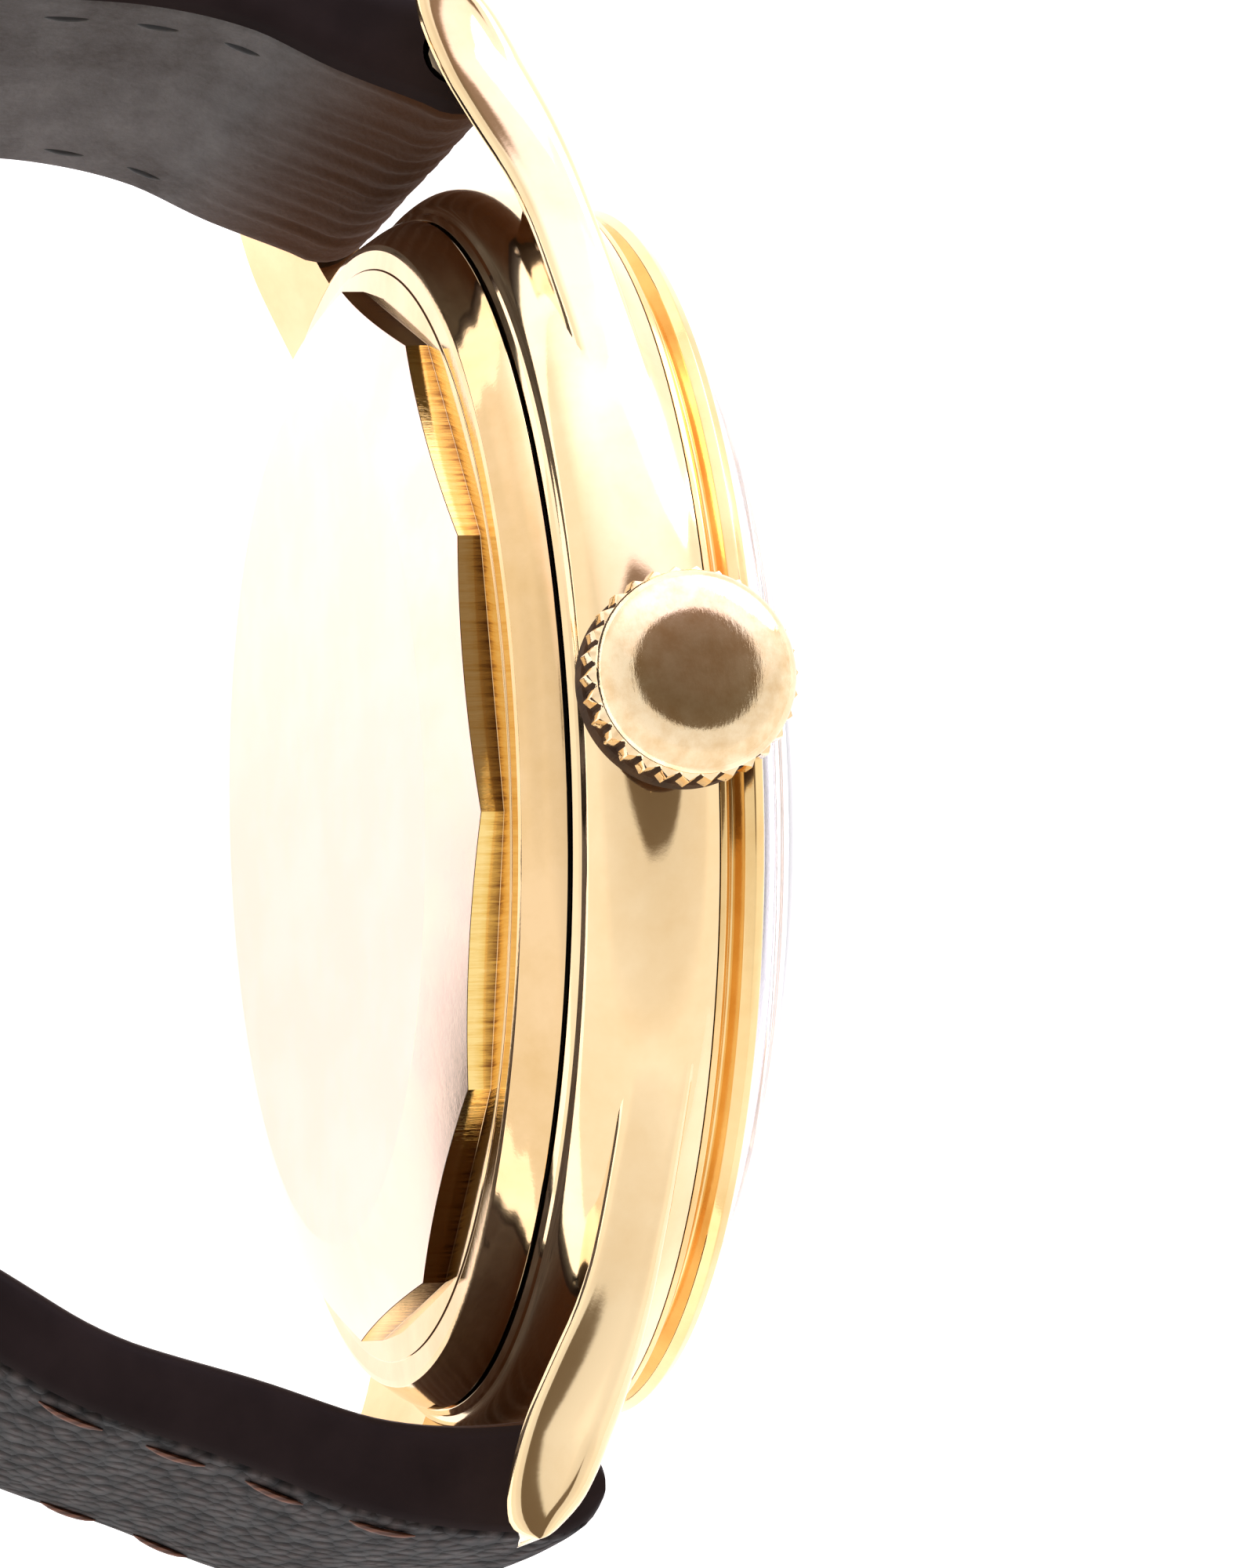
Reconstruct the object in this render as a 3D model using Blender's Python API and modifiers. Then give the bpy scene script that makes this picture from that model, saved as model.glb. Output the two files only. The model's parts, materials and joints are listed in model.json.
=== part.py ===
"""A gold round wristwatch with a twelve-sided screw back, on a leather strap.

The watch lies on its nine o'clock side, so the crown points up (+Z), the dial
faces -Y, six o'clock is +X and twelve o'clock is -X. The origin is the centre
of the flat face of the case back. Sizes are in millimetres, and the helpers
turn them into metres. A "height" is a distance from that flat face towards
the dial.
"""
import bisect
from math import cos, pi, radians, sin

import bmesh
import bpy
from mathutils import Matrix, Vector

MM = 0.001
MERGE = 1e-6

# ---------------------------------------------------------------- driving sizes
BACK_TURN = 9.83            # degrees, the twelve-sided rim about the watch axis
BACK_SIDES = 12
RIM_RADIUS = 14.83          # to the corners of the twelve-sided rim
RIM_FOOT = 1.49
FLANK_TOP = 6.73            # top edge of the case's flank
FLANK_FOOT = 2.92
BORE_RADIUS = 14.5
DIAL_TOP = 6.6
STEM_HEIGHT = 5.29          # crown axis above the case back
CROWN_TEETH = 30
LUG_INNER = 9.2             # half the space between the lugs
SPRING_BAR_REACH = 19.9     # from the watch axis to a spring bar
SPRING_BAR_HEIGHT = 2.99
SPRING_BAR_RADIUS = 0.75
SPRING_BAR_TIP = 0.4
LUG_PLAN = [(6.0, 16.8), (8.0, 15.98), (10.0, 14.9), (12.0, 13.97), (14.0, 13.24),
            (16.0, 12.7), (18.0, 12.28), (20.0, 11.95), (21.6, 11.75)]   # (reach, outer face)
CROWN_TOP = 21.52           # along the crown's axis, from the watch axis
CROWN_RADIUS = 2.71
CROWN_FOOT = 18.3
TUBE_RADIUS = 1.1
BEZEL_FOOT = 6.83
BEZEL_RADIUS = 17.12
CRYSTAL_TOP = 12.0
CRYSTAL_FOOT = 6.85

# The movement's layers, as heights, and its wheels, as (across, up) from the watch axis.
WINDING_LAYER = (2.52, 2.75)        # the ratchet and crown wheels
BRIDGE_LAYER = (2.83, 3.32)
PIVOT_FOOT = 3.42                   # where the arbors start, under the bridges
PIVOT_TOP = 4.4
PLATE_LAYER = (4.5, 5.85)
BRIDGE_EDGE = 12.6                  # the bridges' outer edge
BARREL_AT = (5.6, 4.9)
CROWN_WHEEL_AT = (0.0, 9.6)
THIRD_AT = (3.0, -4.6)
ESCAPE_AT = (-6.6, 3.2)
FORK_AT = (-7.0, 0.3)
BALANCE_AT = (-7.4, -4.3)
BRIDGE_SCREWS = [(11.4, -0.6), (8.0, -8.0), (-11.5, -3.9)]

STRAP_WIDTH = 17.6          # at the lugs
STRAP_END_WIDTH = 16.0
WIDTH_RUN = 55.0            # how far along a half its width keeps falling
STRAP_THICKNESS = 2.45
FOLD_THICKNESS = 3.4        # where a half folds round its spring bar
FOLD_RUN = 12.0
POINT_RUN = 13.0            # the length of the long half's pointed end
PATH_SPACING = 3.0
# Each half's middle line, as (reach from the watch axis, height).
TWELVE_LINE = [(19.9, 2.99), (19.75, 0.5), (19.2, -2.0), (18.0, -5.0), (16.5, -9.0),
               (14.7, -11.9), (11.2, -17.0), (4.0, -27.0), (-4.6, -38.9), (-13.2, -50.7)]
SIX_LINE = [(19.9, 2.99), (20.8, 0.2), (21.9, -2.4), (22.5, -5.5), (22.7, -9.8),
            (23.4, -18.0), (25.0, -29.0), (27.2, -42.0), (28.6, -55.0), (26.6, -67.0),
            (20.5, -77.0), (11.0, -83.0), (1.0, -86.0)]
HOLES = 7
HOLE_PITCH = 6.0
HOLE_RADIUS = 0.9
FIRST_HOLE = 24.0           # from the tip of the long half
BUCKLE_BAR_RADIUS = 0.6
BUCKLE_HALF_WIDTH = 10.4
WINDOW_HALF_WIDTH = 8.6
TONGUE_WIDTH = 2.0
KEEPERS = [("keeper_fixed", 4), ("keeper_sliding", 8)]      # path points back from the buckle

ROUND = 60                  # steps round a large turned piece
INNER = 40                  # steps round a large piece inside the case
FINE = 24                   # steps round a small turned piece
SMALL = 12                  # steps round a pin or an arbor

# ---------------------------------------------------------------- collections

for old in list(bpy.data.objects):
    bpy.data.objects.remove(old, do_unlink=True)

PARTS = bpy.data.collections.new("wristwatch")
CUTTERS = bpy.data.collections.new("cutters")
bpy.context.scene.collection.children.link(PARTS)
bpy.context.scene.collection.children.link(CUTTERS)


def material(name, colour, roughness, metallic):
    made = bpy.data.materials.new(name)
    made.use_nodes = True
    shader = made.node_tree.nodes["Principled BSDF"]
    shader.inputs["Base Color"].default_value = (*colour, 1.0)
    shader.inputs["Roughness"].default_value = roughness
    shader.inputs["Metallic"].default_value = metallic
    return made


GOLD = material("gold", (0.90, 0.62, 0.30), 0.15, 1.0)
BACK_GOLD = material("back_gold", (0.80, 0.52, 0.22), 0.3, 1.0)
STEEL = material("steel", (0.70, 0.70, 0.72), 0.3, 1.0)
BRASS = material("brass", (0.75, 0.58, 0.28), 0.35, 1.0)
ACRYLIC = material("acrylic", (0.85, 0.84, 0.90), 0.05, 0.0)
DIAL_PAINT = material("dial_paint", (0.86, 0.84, 0.76), 0.4, 0.0)
RUBBER = material("rubber", (0.03, 0.03, 0.03), 0.6, 0.0)
LEATHER = material("leather", (0.09, 0.06, 0.05), 0.6, 0.0)


# ---------------------------------------------------------------- helpers


def finish(obj, paint):
    """Names an object as a part: its collection, its material and its shading."""
    for collection in list(obj.users_collection):
        collection.objects.unlink(obj)
    PARTS.objects.link(obj)
    obj.data.materials.clear()
    obj.data.materials.append(paint)
    obj.data.shade_smooth()
    obj.data.set_sharp_from_angle(angle=radians(30))
    return obj


def cutter(obj):
    """Moves an object to the cutters, which are not part of the model."""
    for collection in list(obj.users_collection):
        collection.objects.unlink(obj)
    CUTTERS.objects.link(obj)
    obj.hide_render = True
    obj.display_type = "WIRE"
    return obj


def seat(obj, across=0.0, up=0.0):
    """Stands an object's own Z on the watch axis, pointing out of the dial."""
    obj.location = (across * MM, 0.0, up * MM)
    obj.rotation_euler = (pi / 2, 0.0, 0.0)
    bpy.context.view_layer.update()
    return obj


def seat_on_stem(obj):
    """Stands an object's own Z on the crown's axis, pointing out of the case."""
    obj.location = (0.0, -STEM_HEIGHT * MM, 0.0)
    bpy.context.view_layer.update()
    return obj


def new_object(name, mesh):
    obj = bpy.data.objects.new(name, mesh)
    bpy.context.scene.collection.objects.link(obj)
    return obj


def turned(name, profile, steps, closed=False):
    """A profile of (radius, height) turned about Z. It runs down its outer side."""
    mesh = bpy.data.meshes.new(name)
    points = [(radius * MM, 0.0, height * MM) for radius, height in profile]
    edges = [(i, i + 1) for i in range(len(points) - 1)]
    if closed:
        edges.append((len(points) - 1, 0))
    mesh.from_pydata(points, edges, [])
    obj = new_object(name, mesh)
    screw = obj.modifiers.new("turn", "SCREW")
    screw.steps = steps
    screw.render_steps = steps
    screw.use_merge_vertices = True
    screw.merge_threshold = MERGE
    return obj


def ring(name, inner, outer, low, high, steps=ROUND):
    """A plain flat-sided ring."""
    profile = [(inner, high), (outer, high), (outer, low), (inner, low)]
    return turned(name, profile, steps, closed=True)


def cylinder(name, radius, low, high, steps=SMALL):
    mesh = bpy.data.meshes.new(name)
    shape = bmesh.new()
    bmesh.ops.create_cone(shape, cap_ends=True, segments=steps, radius1=radius * MM,
                          radius2=radius * MM, depth=(high - low) * MM,
                          matrix=Matrix.Translation((0, 0, (low + high) / 2 * MM)))
    shape.to_mesh(mesh)
    shape.free()
    return new_object(name, mesh)


def box(name, low, high):
    """A box between two corners."""
    low, high = Vector(low) * MM, Vector(high) * MM
    mesh = bpy.data.meshes.new(name)
    shape = bmesh.new()
    bmesh.ops.create_cube(shape, size=1.0)
    bmesh.ops.scale(shape, vec=high - low, verts=shape.verts)
    bmesh.ops.translate(shape, vec=(low + high) / 2, verts=shape.verts)
    shape.to_mesh(mesh)
    shape.free()
    return new_object(name, mesh)


def plate(name, outline, low, high):
    """A flat outline of (x, y) points, as thick as low to high."""
    curve = bpy.data.curves.new(name, "CURVE")
    curve.dimensions = "2D"
    curve.fill_mode = "BOTH"
    curve.extrude = (high - low) / 2 * MM
    spline = curve.splines.new("POLY")
    spline.points.add(len(outline) - 1)
    for point, (x, y) in zip(spline.points, outline):
        point.co = (x * MM, y * MM, 0.0, 1.0)
    spline.use_cyclic_u = True
    drawn = new_object(name + "_outline", curve)
    bpy.context.view_layer.update()
    mesh = bpy.data.meshes.new_from_object(drawn.evaluated_get(bpy.context.evaluated_depsgraph_get()))
    mesh.name = name
    shape = bmesh.new()
    shape.from_mesh(mesh)
    bmesh.ops.remove_doubles(shape, verts=shape.verts, dist=MERGE)
    bmesh.ops.translate(shape, vec=(0, 0, (low + high) / 2 * MM), verts=shape.verts)
    bmesh.ops.recalc_face_normals(shape, faces=shape.faces)
    shape.to_mesh(mesh)
    shape.free()
    bpy.data.objects.remove(drawn, do_unlink=True)
    return new_object(name, mesh)


def combine(obj, tool, operation):
    """Joins or cuts an object with another, which becomes a cutter."""
    modifier = obj.modifiers.new(operation.lower(), "BOOLEAN")
    modifier.operation = operation
    modifier.object = cutter(tool)
    return obj


def add(obj, tool):
    return combine(obj, tool, "UNION")


def cut(obj, tool):
    return combine(obj, tool, "DIFFERENCE")


def circle(radius, count, turn=0.0, centre=(0.0, 0.0)):
    """Points round a circle, the first of them turn degrees from X."""
    angles = [radians(turn) + 2 * pi * i / count for i in range(count)]
    return [(centre[0] + radius * cos(a), centre[1] + radius * sin(a)) for a in angles]


def star(tip, root, teeth):
    """The outline of a toothed wheel, one point at each tip and each root."""
    radii = [tip, root] * teeth
    return [(r * cos(pi * i / teeth), r * sin(pi * i / teeth)) for i, r in enumerate(radii)]


# ---------------------------------------------------------------- case


def lug_side():
    """The side of a lug: (reach from the watch axis, height) round its outline."""
    back = [(8.0, 4.2), (10.0, 4.1), (12.0, 4.0), (14.0, 3.64), (15.5, 3.14), (17.0, 2.4), (18.5, 1.7),
            (20.0, 1.2), (21.0, 1.14)]
    tip = [(21.5, 1.4), (21.6, 2.0)]
    front = [(21.2, 2.9), (20.5, 3.55), (18.3, 4.54), (16.5, 5.1), (14.5, 5.54), (12.0, 6.0),
             (10.0, 6.2), (8.0, 6.4)]
    return back + tip + front


def lug_outer(reach):
    """How far a lug's outer face is from the middle of the strap."""
    reaches = [point[0] for point in LUG_PLAN]
    i = max(1, min(bisect.bisect_left(reaches, reach), len(LUG_PLAN) - 1))
    (before, near), (after, far) = LUG_PLAN[i - 1], LUG_PLAN[i]
    return near + (far - near) * (reach - before) / (after - before)


def lug(name, end, side):
    """One lug: end is -1 at twelve and +1 at six, side is +1 at the crown."""
    obj = plate(name, lug_side(), 0.0, 1.0)
    for vertex in obj.data.vertices:
        reach, height, outer = vertex.co
        width = lug_outer(reach / MM) if outer > 0.5 * MM else LUG_INNER
        vertex.co = (end * reach, side * width * MM, height)
    if end * side > 0:
        obj.data.flip_normals()
    return seat(obj)


def mid_case():
    flank = [(17.37, FLANK_TOP), (17.72, 6.1), (17.88, 5.4), (17.9, 4.7), (17.72, 3.8),
             (17.3, 3.2), (16.85, 2.95), (16.0, FLANK_FOOT)]
    obj = seat(turned("mid_case", [(0.0, FLANK_TOP)] + flank + [(0.0, FLANK_FOOT)], ROUND))
    for end in (-1, 1):
        for side in (-1, 1):
            add(obj, lug(f"lug_{end}_{side}", end, side))
    cut(obj, seat(cylinder("movement_bore", BORE_RADIUS, 2.0, 8.0, ROUND)))
    cut(obj, seat_on_stem(cylinder("tube_bore", TUBE_RADIUS + 0.15, 13.0, 19.0, SMALL)))
    for end in (-1, 1):
        hole = cylinder(f"spring_bar_holes_{end}", SPRING_BAR_TIP + 0.12, -10.9, 10.9, SMALL)
        hole.location = (end * SPRING_BAR_REACH * MM, -SPRING_BAR_HEIGHT * MM, 0.0)
        cut(obj, hole)
    return finish(obj, GOLD)


def case_back():
    """A shallow cup whose outside stands on a twelve-sided rim, with a threaded collar."""
    outside = [(14.3, 3.8), (14.3, 2.7), (16.8, 2.64), (16.07, 1.6), (15.3, RIM_FOOT),
               (RIM_RADIUS, 0.84), (12.1, 0.0), (0.0, 0.0)]
    inside = [(0.0, 0.75), (11.8, 0.75), (13.6, 2.2), (13.6, 3.8)]
    obj = seat(turned("case_back", inside + outside, ROUND))
    waste = ring("rim_waste", RIM_RADIUS, 20.0, -1.0, RIM_FOOT, BACK_SIDES)
    waste.data.transform(Matrix.Rotation(radians(BACK_TURN), 4, "Z"))
    cut(obj, seat(waste))
    return finish(obj, BACK_GOLD)


def bezel():
    profile = [(15.5, 8.3), (16.3, 8.25), (17.0, 8.0), (BEZEL_RADIUS, 7.76), (16.65, 7.25),
               (16.75, 7.0), (17.3, BEZEL_FOOT), (15.5, BEZEL_FOOT)]
    return finish(seat(turned("bezel", profile, ROUND, closed=True)), GOLD)


def crystal():
    dome = [(0.0, CRYSTAL_TOP), (3.0, 11.93), (6.0, 11.66), (9.0, 11.15), (11.5, 10.5),
            (13.4, 9.8), (14.72, 9.12)]
    foot = [(15.35, 8.6), (15.35, CRYSTAL_FOOT), (14.15, CRYSTAL_FOOT)]
    inside = [(14.1, 8.2), (12.6, 9.3), (9.5, 10.1), (6.0, 10.6), (3.0, 10.85), (0.0, 10.9)]
    return finish(seat(turned("crystal", dome + foot + inside, ROUND)), ACRYLIC)


def small_case_rings():
    finish(seat(ring("crystal_ring", 13.4, 13.95, 6.7, 7.9, INNER)), GOLD)
    finish(seat(ring("back_gasket", 15.0, 16.4, 2.77, 2.85, INNER)), RUBBER)
    movement_ring = seat(ring("movement_ring", 13.1, 14.3, 4.0, 6.1, INNER))
    cut(movement_ring, seat_on_stem(cylinder("ring_bore", 0.9, 12.0, 16.0, SMALL)))
    finish(movement_ring, BRASS)
    finish(seat_on_stem(ring("crown_tube", 0.75, TUBE_RADIUS, 14.8, 18.05, SMALL)), STEEL)


def crown():
    """A domed cap on a toothed skirt, hollow for the winding stem."""
    cap = [(0.0, CROWN_TOP), (1.2, CROWN_TOP - 0.1), (2.1, CROWN_TOP - 0.38),
           (CROWN_RADIUS, 20.7), (2.6, 20.45), (2.6, 18.5), (1.6, CROWN_FOOT), (0.0, CROWN_FOOT)]
    obj = seat_on_stem(turned("crown", cap, CROWN_TEETH))
    add(obj, seat_on_stem(plate("crown_teeth", star(2.92, 2.68, CROWN_TEETH), 18.6, 20.4)))
    cut(obj, seat_on_stem(cylinder("stem_socket", 0.55, 18.0, 19.8, SMALL)))
    return finish(obj, GOLD)


def winding_stem():
    """The stem and its clutch: the setting lever sits in the groove between its collars."""
    profile = [(0.0, 19.6), (0.4, 19.6), (0.4, 11.2), (0.8, 11.2), (0.8, 10.7), (0.45, 10.7),
               (0.45, 10.1), (0.8, 10.1), (0.8, 9.0), (0.3, 9.0), (0.3, 7.2), (0.0, 7.2)]
    return finish(seat_on_stem(turned("winding_stem", profile, SMALL)), STEEL)


# ---------------------------------------------------------------- dial and hands


def dial():
    obj = seat(cylinder("dial", 14.2, 6.25, DIAL_TOP, INNER))
    cut(obj, seat(cylinder("dial_hole", 1.1, 6.0, 7.0, SMALL)))
    return finish(obj, DIAL_PAINT)


def hour_markers():
    """Twelve raised batons, the one at twelve o'clock broader than the others."""
    for hour in range(1, 13):
        width = 1.3 if hour == 12 else 0.7
        baton = box(f"hour_marker_{hour:02d}", (9.9, -width / 2, DIAL_TOP + 0.03),
                    (12.6, width / 2, DIAL_TOP + 0.33))
        baton.data.transform(Matrix.Rotation(radians(30 * hour), 4, "Z"))
        baton.data.transform(Matrix.Rotation(pi, 4, "Z"))
        finish(seat(baton), GOLD)


def hand(name, length, width, tail, low, high, bore, turn):
    """A pointed hand with a round boss, turn degrees clockwise from twelve o'clock."""
    boss = bore + 0.65
    blade = [(-length, 0.0), (-length * 0.35, -width / 2), (tail, -width / 4),
             (tail, width / 4), (-length * 0.35, width / 2)]
    obj = seat(plate(name, blade, low, high))
    obj.data.transform(Matrix.Rotation(radians(turn), 4, "Z"))
    add(obj, seat(cylinder(name + "_boss", boss, low, high, SMALL)))
    if bore:
        cut(obj, seat(cylinder(name + "_bore", bore, low - 1.0, high + 1.0, SMALL)))
    return finish(obj, GOLD)


def hands():
    hand("hour_hand", 8.0, 1.3, 2.0, 7.05, 7.2, 0.98, 305.0)
    hand("minute_hand", 11.8, 1.0, 2.2, 7.4, 7.55, 0.6, 50.0)
    hand("seconds_hand", 12.2, 0.36, 3.6, 7.85, 7.95, 0.0, 180.0)


# ---------------------------------------------------------------- movement


def wheel(name, teeth, tip, low, high, arbor, across=0.0, up=0.0, bore=0.0):
    """A toothed wheel with its arbor, given as (radius, low, high)."""
    obj = seat(plate(name, star(tip, tip * 0.9, teeth), low, high), across, up)
    if arbor:
        add(obj, seat(cylinder(name + "_arbor", *arbor), across, up))
    if bore:
        cut(obj, seat(cylinder(name + "_bore", bore, 0.0, 12.0, SMALL), across, up))
    return finish(obj, BRASS)


def wheels():
    wheel("hour_wheel", 16, 1.9, 5.95, 6.15, (0.85, 5.95, 7.3), bore=0.6)
    wheel("centre_wheel", 20, 2.9, 4.1, 4.3, (0.45, 4.1, 7.65), bore=0.25)
    wheel("fourth_wheel", 20, 2.9, PIVOT_FOOT, 3.56, (0.13, PIVOT_FOOT, 7.82))
    wheel("third_wheel", 20, 2.9, 3.72, 3.88, (0.2, PIVOT_FOOT, PIVOT_TOP), *THIRD_AT)
    wheel("escape_wheel", 15, 1.7, 4.0, 4.15, (0.15, PIVOT_FOOT, PIVOT_TOP), *ESCAPE_AT)
    wheel("mainspring_barrel", 24, 4.3, 3.62, PIVOT_TOP, None, *BARREL_AT)
    wheel("ratchet_wheel", 24, 4.25, *WINDING_LAYER, None, *BARREL_AT)
    wheel("crown_wheel", 16, 2.8, *WINDING_LAYER, None, *CROWN_WHEEL_AT)


def balance():
    """The balance wheel: a rim, one crossbar, and a staff through its middle."""
    obj = seat(ring("balance_wheel", 2.9, 3.5, 3.45, 3.7, FINE), *BALANCE_AT)
    add(obj, seat(box("balance_bar", (-3.1, -0.3, 3.5), (3.1, 0.3, 3.65)), *BALANCE_AT))
    add(obj, seat(cylinder("balance_staff", 0.25, PIVOT_FOOT, PIVOT_TOP), *BALANCE_AT))
    finish(obj, BRASS)


def hairspring():
    """A flat spiral of three turns above the balance's crossbar."""
    curve = bpy.data.curves.new("hairspring", "CURVE")
    curve.dimensions = "3D"
    curve.bevel_depth = 0.05 * MM
    curve.bevel_resolution = 0
    curve.use_fill_caps = True
    turns, per_turn, first, last = 3, 14, 0.5, 1.6
    count = turns * per_turn + 1
    spline = curve.splines.new("POLY")
    spline.points.add(count - 1)
    for i, point in enumerate(spline.points):
        angle = 2 * pi * i / per_turn
        radius = first + (last - first) * i / (count - 1)
        point.co = (radius * cos(angle) * MM, radius * sin(angle) * MM, 3.85 * MM, 1.0)
    coil = seat(new_object("hairspring", curve), *BALANCE_AT)
    bpy.context.scene.collection.objects.unlink(coil)
    PARTS.objects.link(coil)
    curve.materials.append(STEEL)


def pallet_fork():
    outline = [(-0.25, -2.2), (0.25, -2.2), (0.35, 0.6), (1.3, 1.1), (1.1, 1.6), (-1.1, 1.6),
               (-1.3, 1.1), (-0.35, 0.6)]
    finish(seat(plate("pallet_fork", outline, 4.2, 4.32), *FORK_AT), STEEL)


def main_plate():
    obj = seat(cylinder("main_plate", 12.9, *PLATE_LAYER, INNER))
    cut(obj, seat(cylinder("plate_hole", 0.7, 4.0, 6.5)))
    cut(obj, seat(box("stem_slot", (-1.3, 6.6, 4.0), (1.3, 14.0, 6.4))))
    finish(obj, BRASS)


def bridge(name, outline, posts):
    """A flat bridge over the wheels, on round posts that stand on the main plate."""
    obj = seat(plate(name, outline, *BRIDGE_LAYER))
    for number, (across, up) in enumerate(posts):
        add(obj, seat(cylinder(f"{name}_post_{number}", 0.7, 3.0, 4.45), across, up))
    return finish(obj, BRASS)


def arc(radius, first, last, count):
    """Points along an arc, with its angles in degrees."""
    angles = [radians(first + (last - first) * i / (count - 1)) for i in range(count)]
    return [(radius * cos(a), radius * sin(a)) for a in angles]


def bridges():
    barrel_post, train_post, balance_post = BRIDGE_SCREWS
    bridge("barrel_bridge", arc(BRIDGE_EDGE, -8.0, 118.0, 15) + [(-2.4, 1.9), (2.2, 0.3)],
           [barrel_post, (0.0, 11.4)])
    bridge("train_bridge",
           arc(BRIDGE_EDGE, -100.0, -12.0, 12) + [(2.2, -0.3), (-2.6, 1.5), (-3.2, -3.0)],
           [train_post, (-0.6, -11.0)])
    bridge("balance_cock", arc(BRIDGE_EDGE, 196.0, 232.0, 6) + [(-5.8, -4.9), (-7.2, -3.4)],
           [balance_post])
    bridge("escapement_bridge", arc(BRIDGE_EDGE, 122.0, 178.0, 8) + [(-5.6, 0.0), (-4.9, 4.3)],
           [(-9.6, 5.8)])
    for number, (across, up) in enumerate(BRIDGE_SCREWS, 1):
        finish(seat(cylinder(f"bridge_screw_{number}", 0.8, 2.6, 2.8), across, up), STEEL)


def rotor():
    """A half-round winding weight with a heavy rim, on a post at the watch axis."""
    half = arc(11.6, 180.0, 360.0, 19)
    obj = seat(plate("rotor", half, 1.15, 1.5))
    rim = arc(12.4, 184.0, 356.0, 19) + arc(11.0, 356.0, 184.0, 19)
    add(obj, seat(plate("rotor_rim", rim, 1.4, 2.3)))
    add(obj, seat(cylinder("rotor_hub", 1.8, 1.15, 2.0, FINE)))
    cut(obj, seat(cylinder("rotor_bore", 0.65, 1.0, 3.0)))
    finish(obj, STEEL)
    finish(seat(cylinder("rotor_post", 0.5, 1.2, 2.8)), STEEL)


def setting_lever():
    """The lever whose end sits in the groove of the stem and moves it in and out."""
    finish(seat(box("setting_lever", (0.55, 10.2, 4.7), (1.1, 10.6, 5.8))), STEEL)


# ---------------------------------------------------------------- strap


def smooth_path(knots, spacing):
    """Points along a Catmull-Rom curve through the knots, evenly spaced."""
    ends = [2 * Vector(knots[0]) - Vector(knots[1])]
    ends += [Vector(k) for k in knots]
    ends += [2 * ends[-1] - ends[-2]]
    dense = []
    for a, b, c, d in zip(ends, ends[1:], ends[2:], ends[3:]):
        for step in range(20):
            t = step / 20
            dense.append(0.5 * (2 * b + (c - a) * t + (2 * a - 5 * b + 4 * c - d) * t * t
                                + (3 * b - a - 3 * c + d) * t ** 3))
    dense.append(ends[-2])
    runs = [0.0]
    for a, b in zip(dense, dense[1:]):
        runs.append(runs[-1] + (b - a).length)
    count = round(runs[-1] / spacing)
    points = []
    for i in range(count + 1):
        run = runs[-1] * i / count
        k = min(bisect.bisect_right(runs, run), len(runs) - 1)
        t = (run - runs[k - 1]) / (runs[k] - runs[k - 1])
        points.append(dense[k - 1].lerp(dense[k], t))
    return points, runs[-1]


def thickness(run):
    """A strap half is thick where it folds round the spring bar, then thins."""
    fall = min(run / FOLD_RUN, 1.0) ** 0.6
    return FOLD_THICKNESS + (STRAP_THICKNESS - FOLD_THICKNESS) * fall


def strap_width(run, length, pointed):
    width = STRAP_WIDTH + (STRAP_END_WIDTH - STRAP_WIDTH) * min(run / WIDTH_RUN, 1.0)
    left = length - run
    if pointed and left < POINT_RUN:
        width *= 0.3 + 0.7 * (max(left, 0.0) / POINT_RUN) ** 0.6
    return width


def normals(points):
    """The outward side of the path at each point, with the loop's inside behind."""
    found = []
    for i in range(len(points)):
        along = (points[min(i + 1, len(points) - 1)] - points[max(i - 1, 0)]).normalized()
        found.append(Vector((-along.y, along.x)))
    return found


def strap_half(name, end, knots, round_end):
    """One half of the strap: end is -1 at twelve and +1 at six o'clock."""
    points, length = smooth_path(knots, PATH_SPACING)
    step = length / (len(points) - 1)
    outward = normals(points)
    outer, inner = [], []
    for i, (point, side) in enumerate(zip(points, outward)):
        half = thickness(i * step) / 2
        outer.append(point + side * half)
        inner.append(point - side * half)
    start, first_out = points[0], outward[0]
    backward = Vector((-first_out.y, first_out.x))
    nose = [start + FOLD_THICKNESS / 2 * (first_out * cos(a) + backward * sin(a))
            for a in [pi * k / 8 for k in range(1, 8)]]
    tail = []
    if round_end:
        along = (points[-1] - points[-2]).normalized()
        tail = [points[-1] + 1.2 * (outward[-1] * cos(a) + along * sin(a))
                for a in [pi * k / 6 for k in range(1, 6)]]
    outline = list(reversed(nose)) + outer + tail + list(reversed(inner))
    obj = plate(name, [(end * p.x, -p.y) for p in outline], -1.0, 1.0)
    for vertex in obj.data.vertices:
        at = Vector((end * vertex.co.x / MM, -vertex.co.y / MM))
        near = min(range(len(points)), key=lambda i: (points[i] - at).length)
        run = near * step
        width = strap_width(run, length, pointed=not round_end)
        vertex.co.z = (width / 2 if vertex.co.z > 0 else -width / 2) * MM
    eye = cylinder(name + "_eye", SPRING_BAR_RADIUS + 0.2, -10.0, 10.0)
    eye.location = (end * SPRING_BAR_REACH * MM, -SPRING_BAR_HEIGHT * MM, 0.0)
    cut(obj, eye)
    return obj, points, outward, step


def place(obj, end, point, along, outward):
    """Puts an object's X along the strap, its Y outward and its Z towards the crown."""
    x = Vector((end * along.x, -along.y, 0.0))
    y = Vector((end * outward.x, -outward.y, 0.0))
    z = x.cross(y)
    turn = Matrix((x, y, z)).transposed().to_4x4()
    obj.matrix_world = Matrix.Translation((end * point.x * MM, -point.y * MM, 0.0)) @ turn
    bpy.context.view_layer.update()
    return obj


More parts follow.
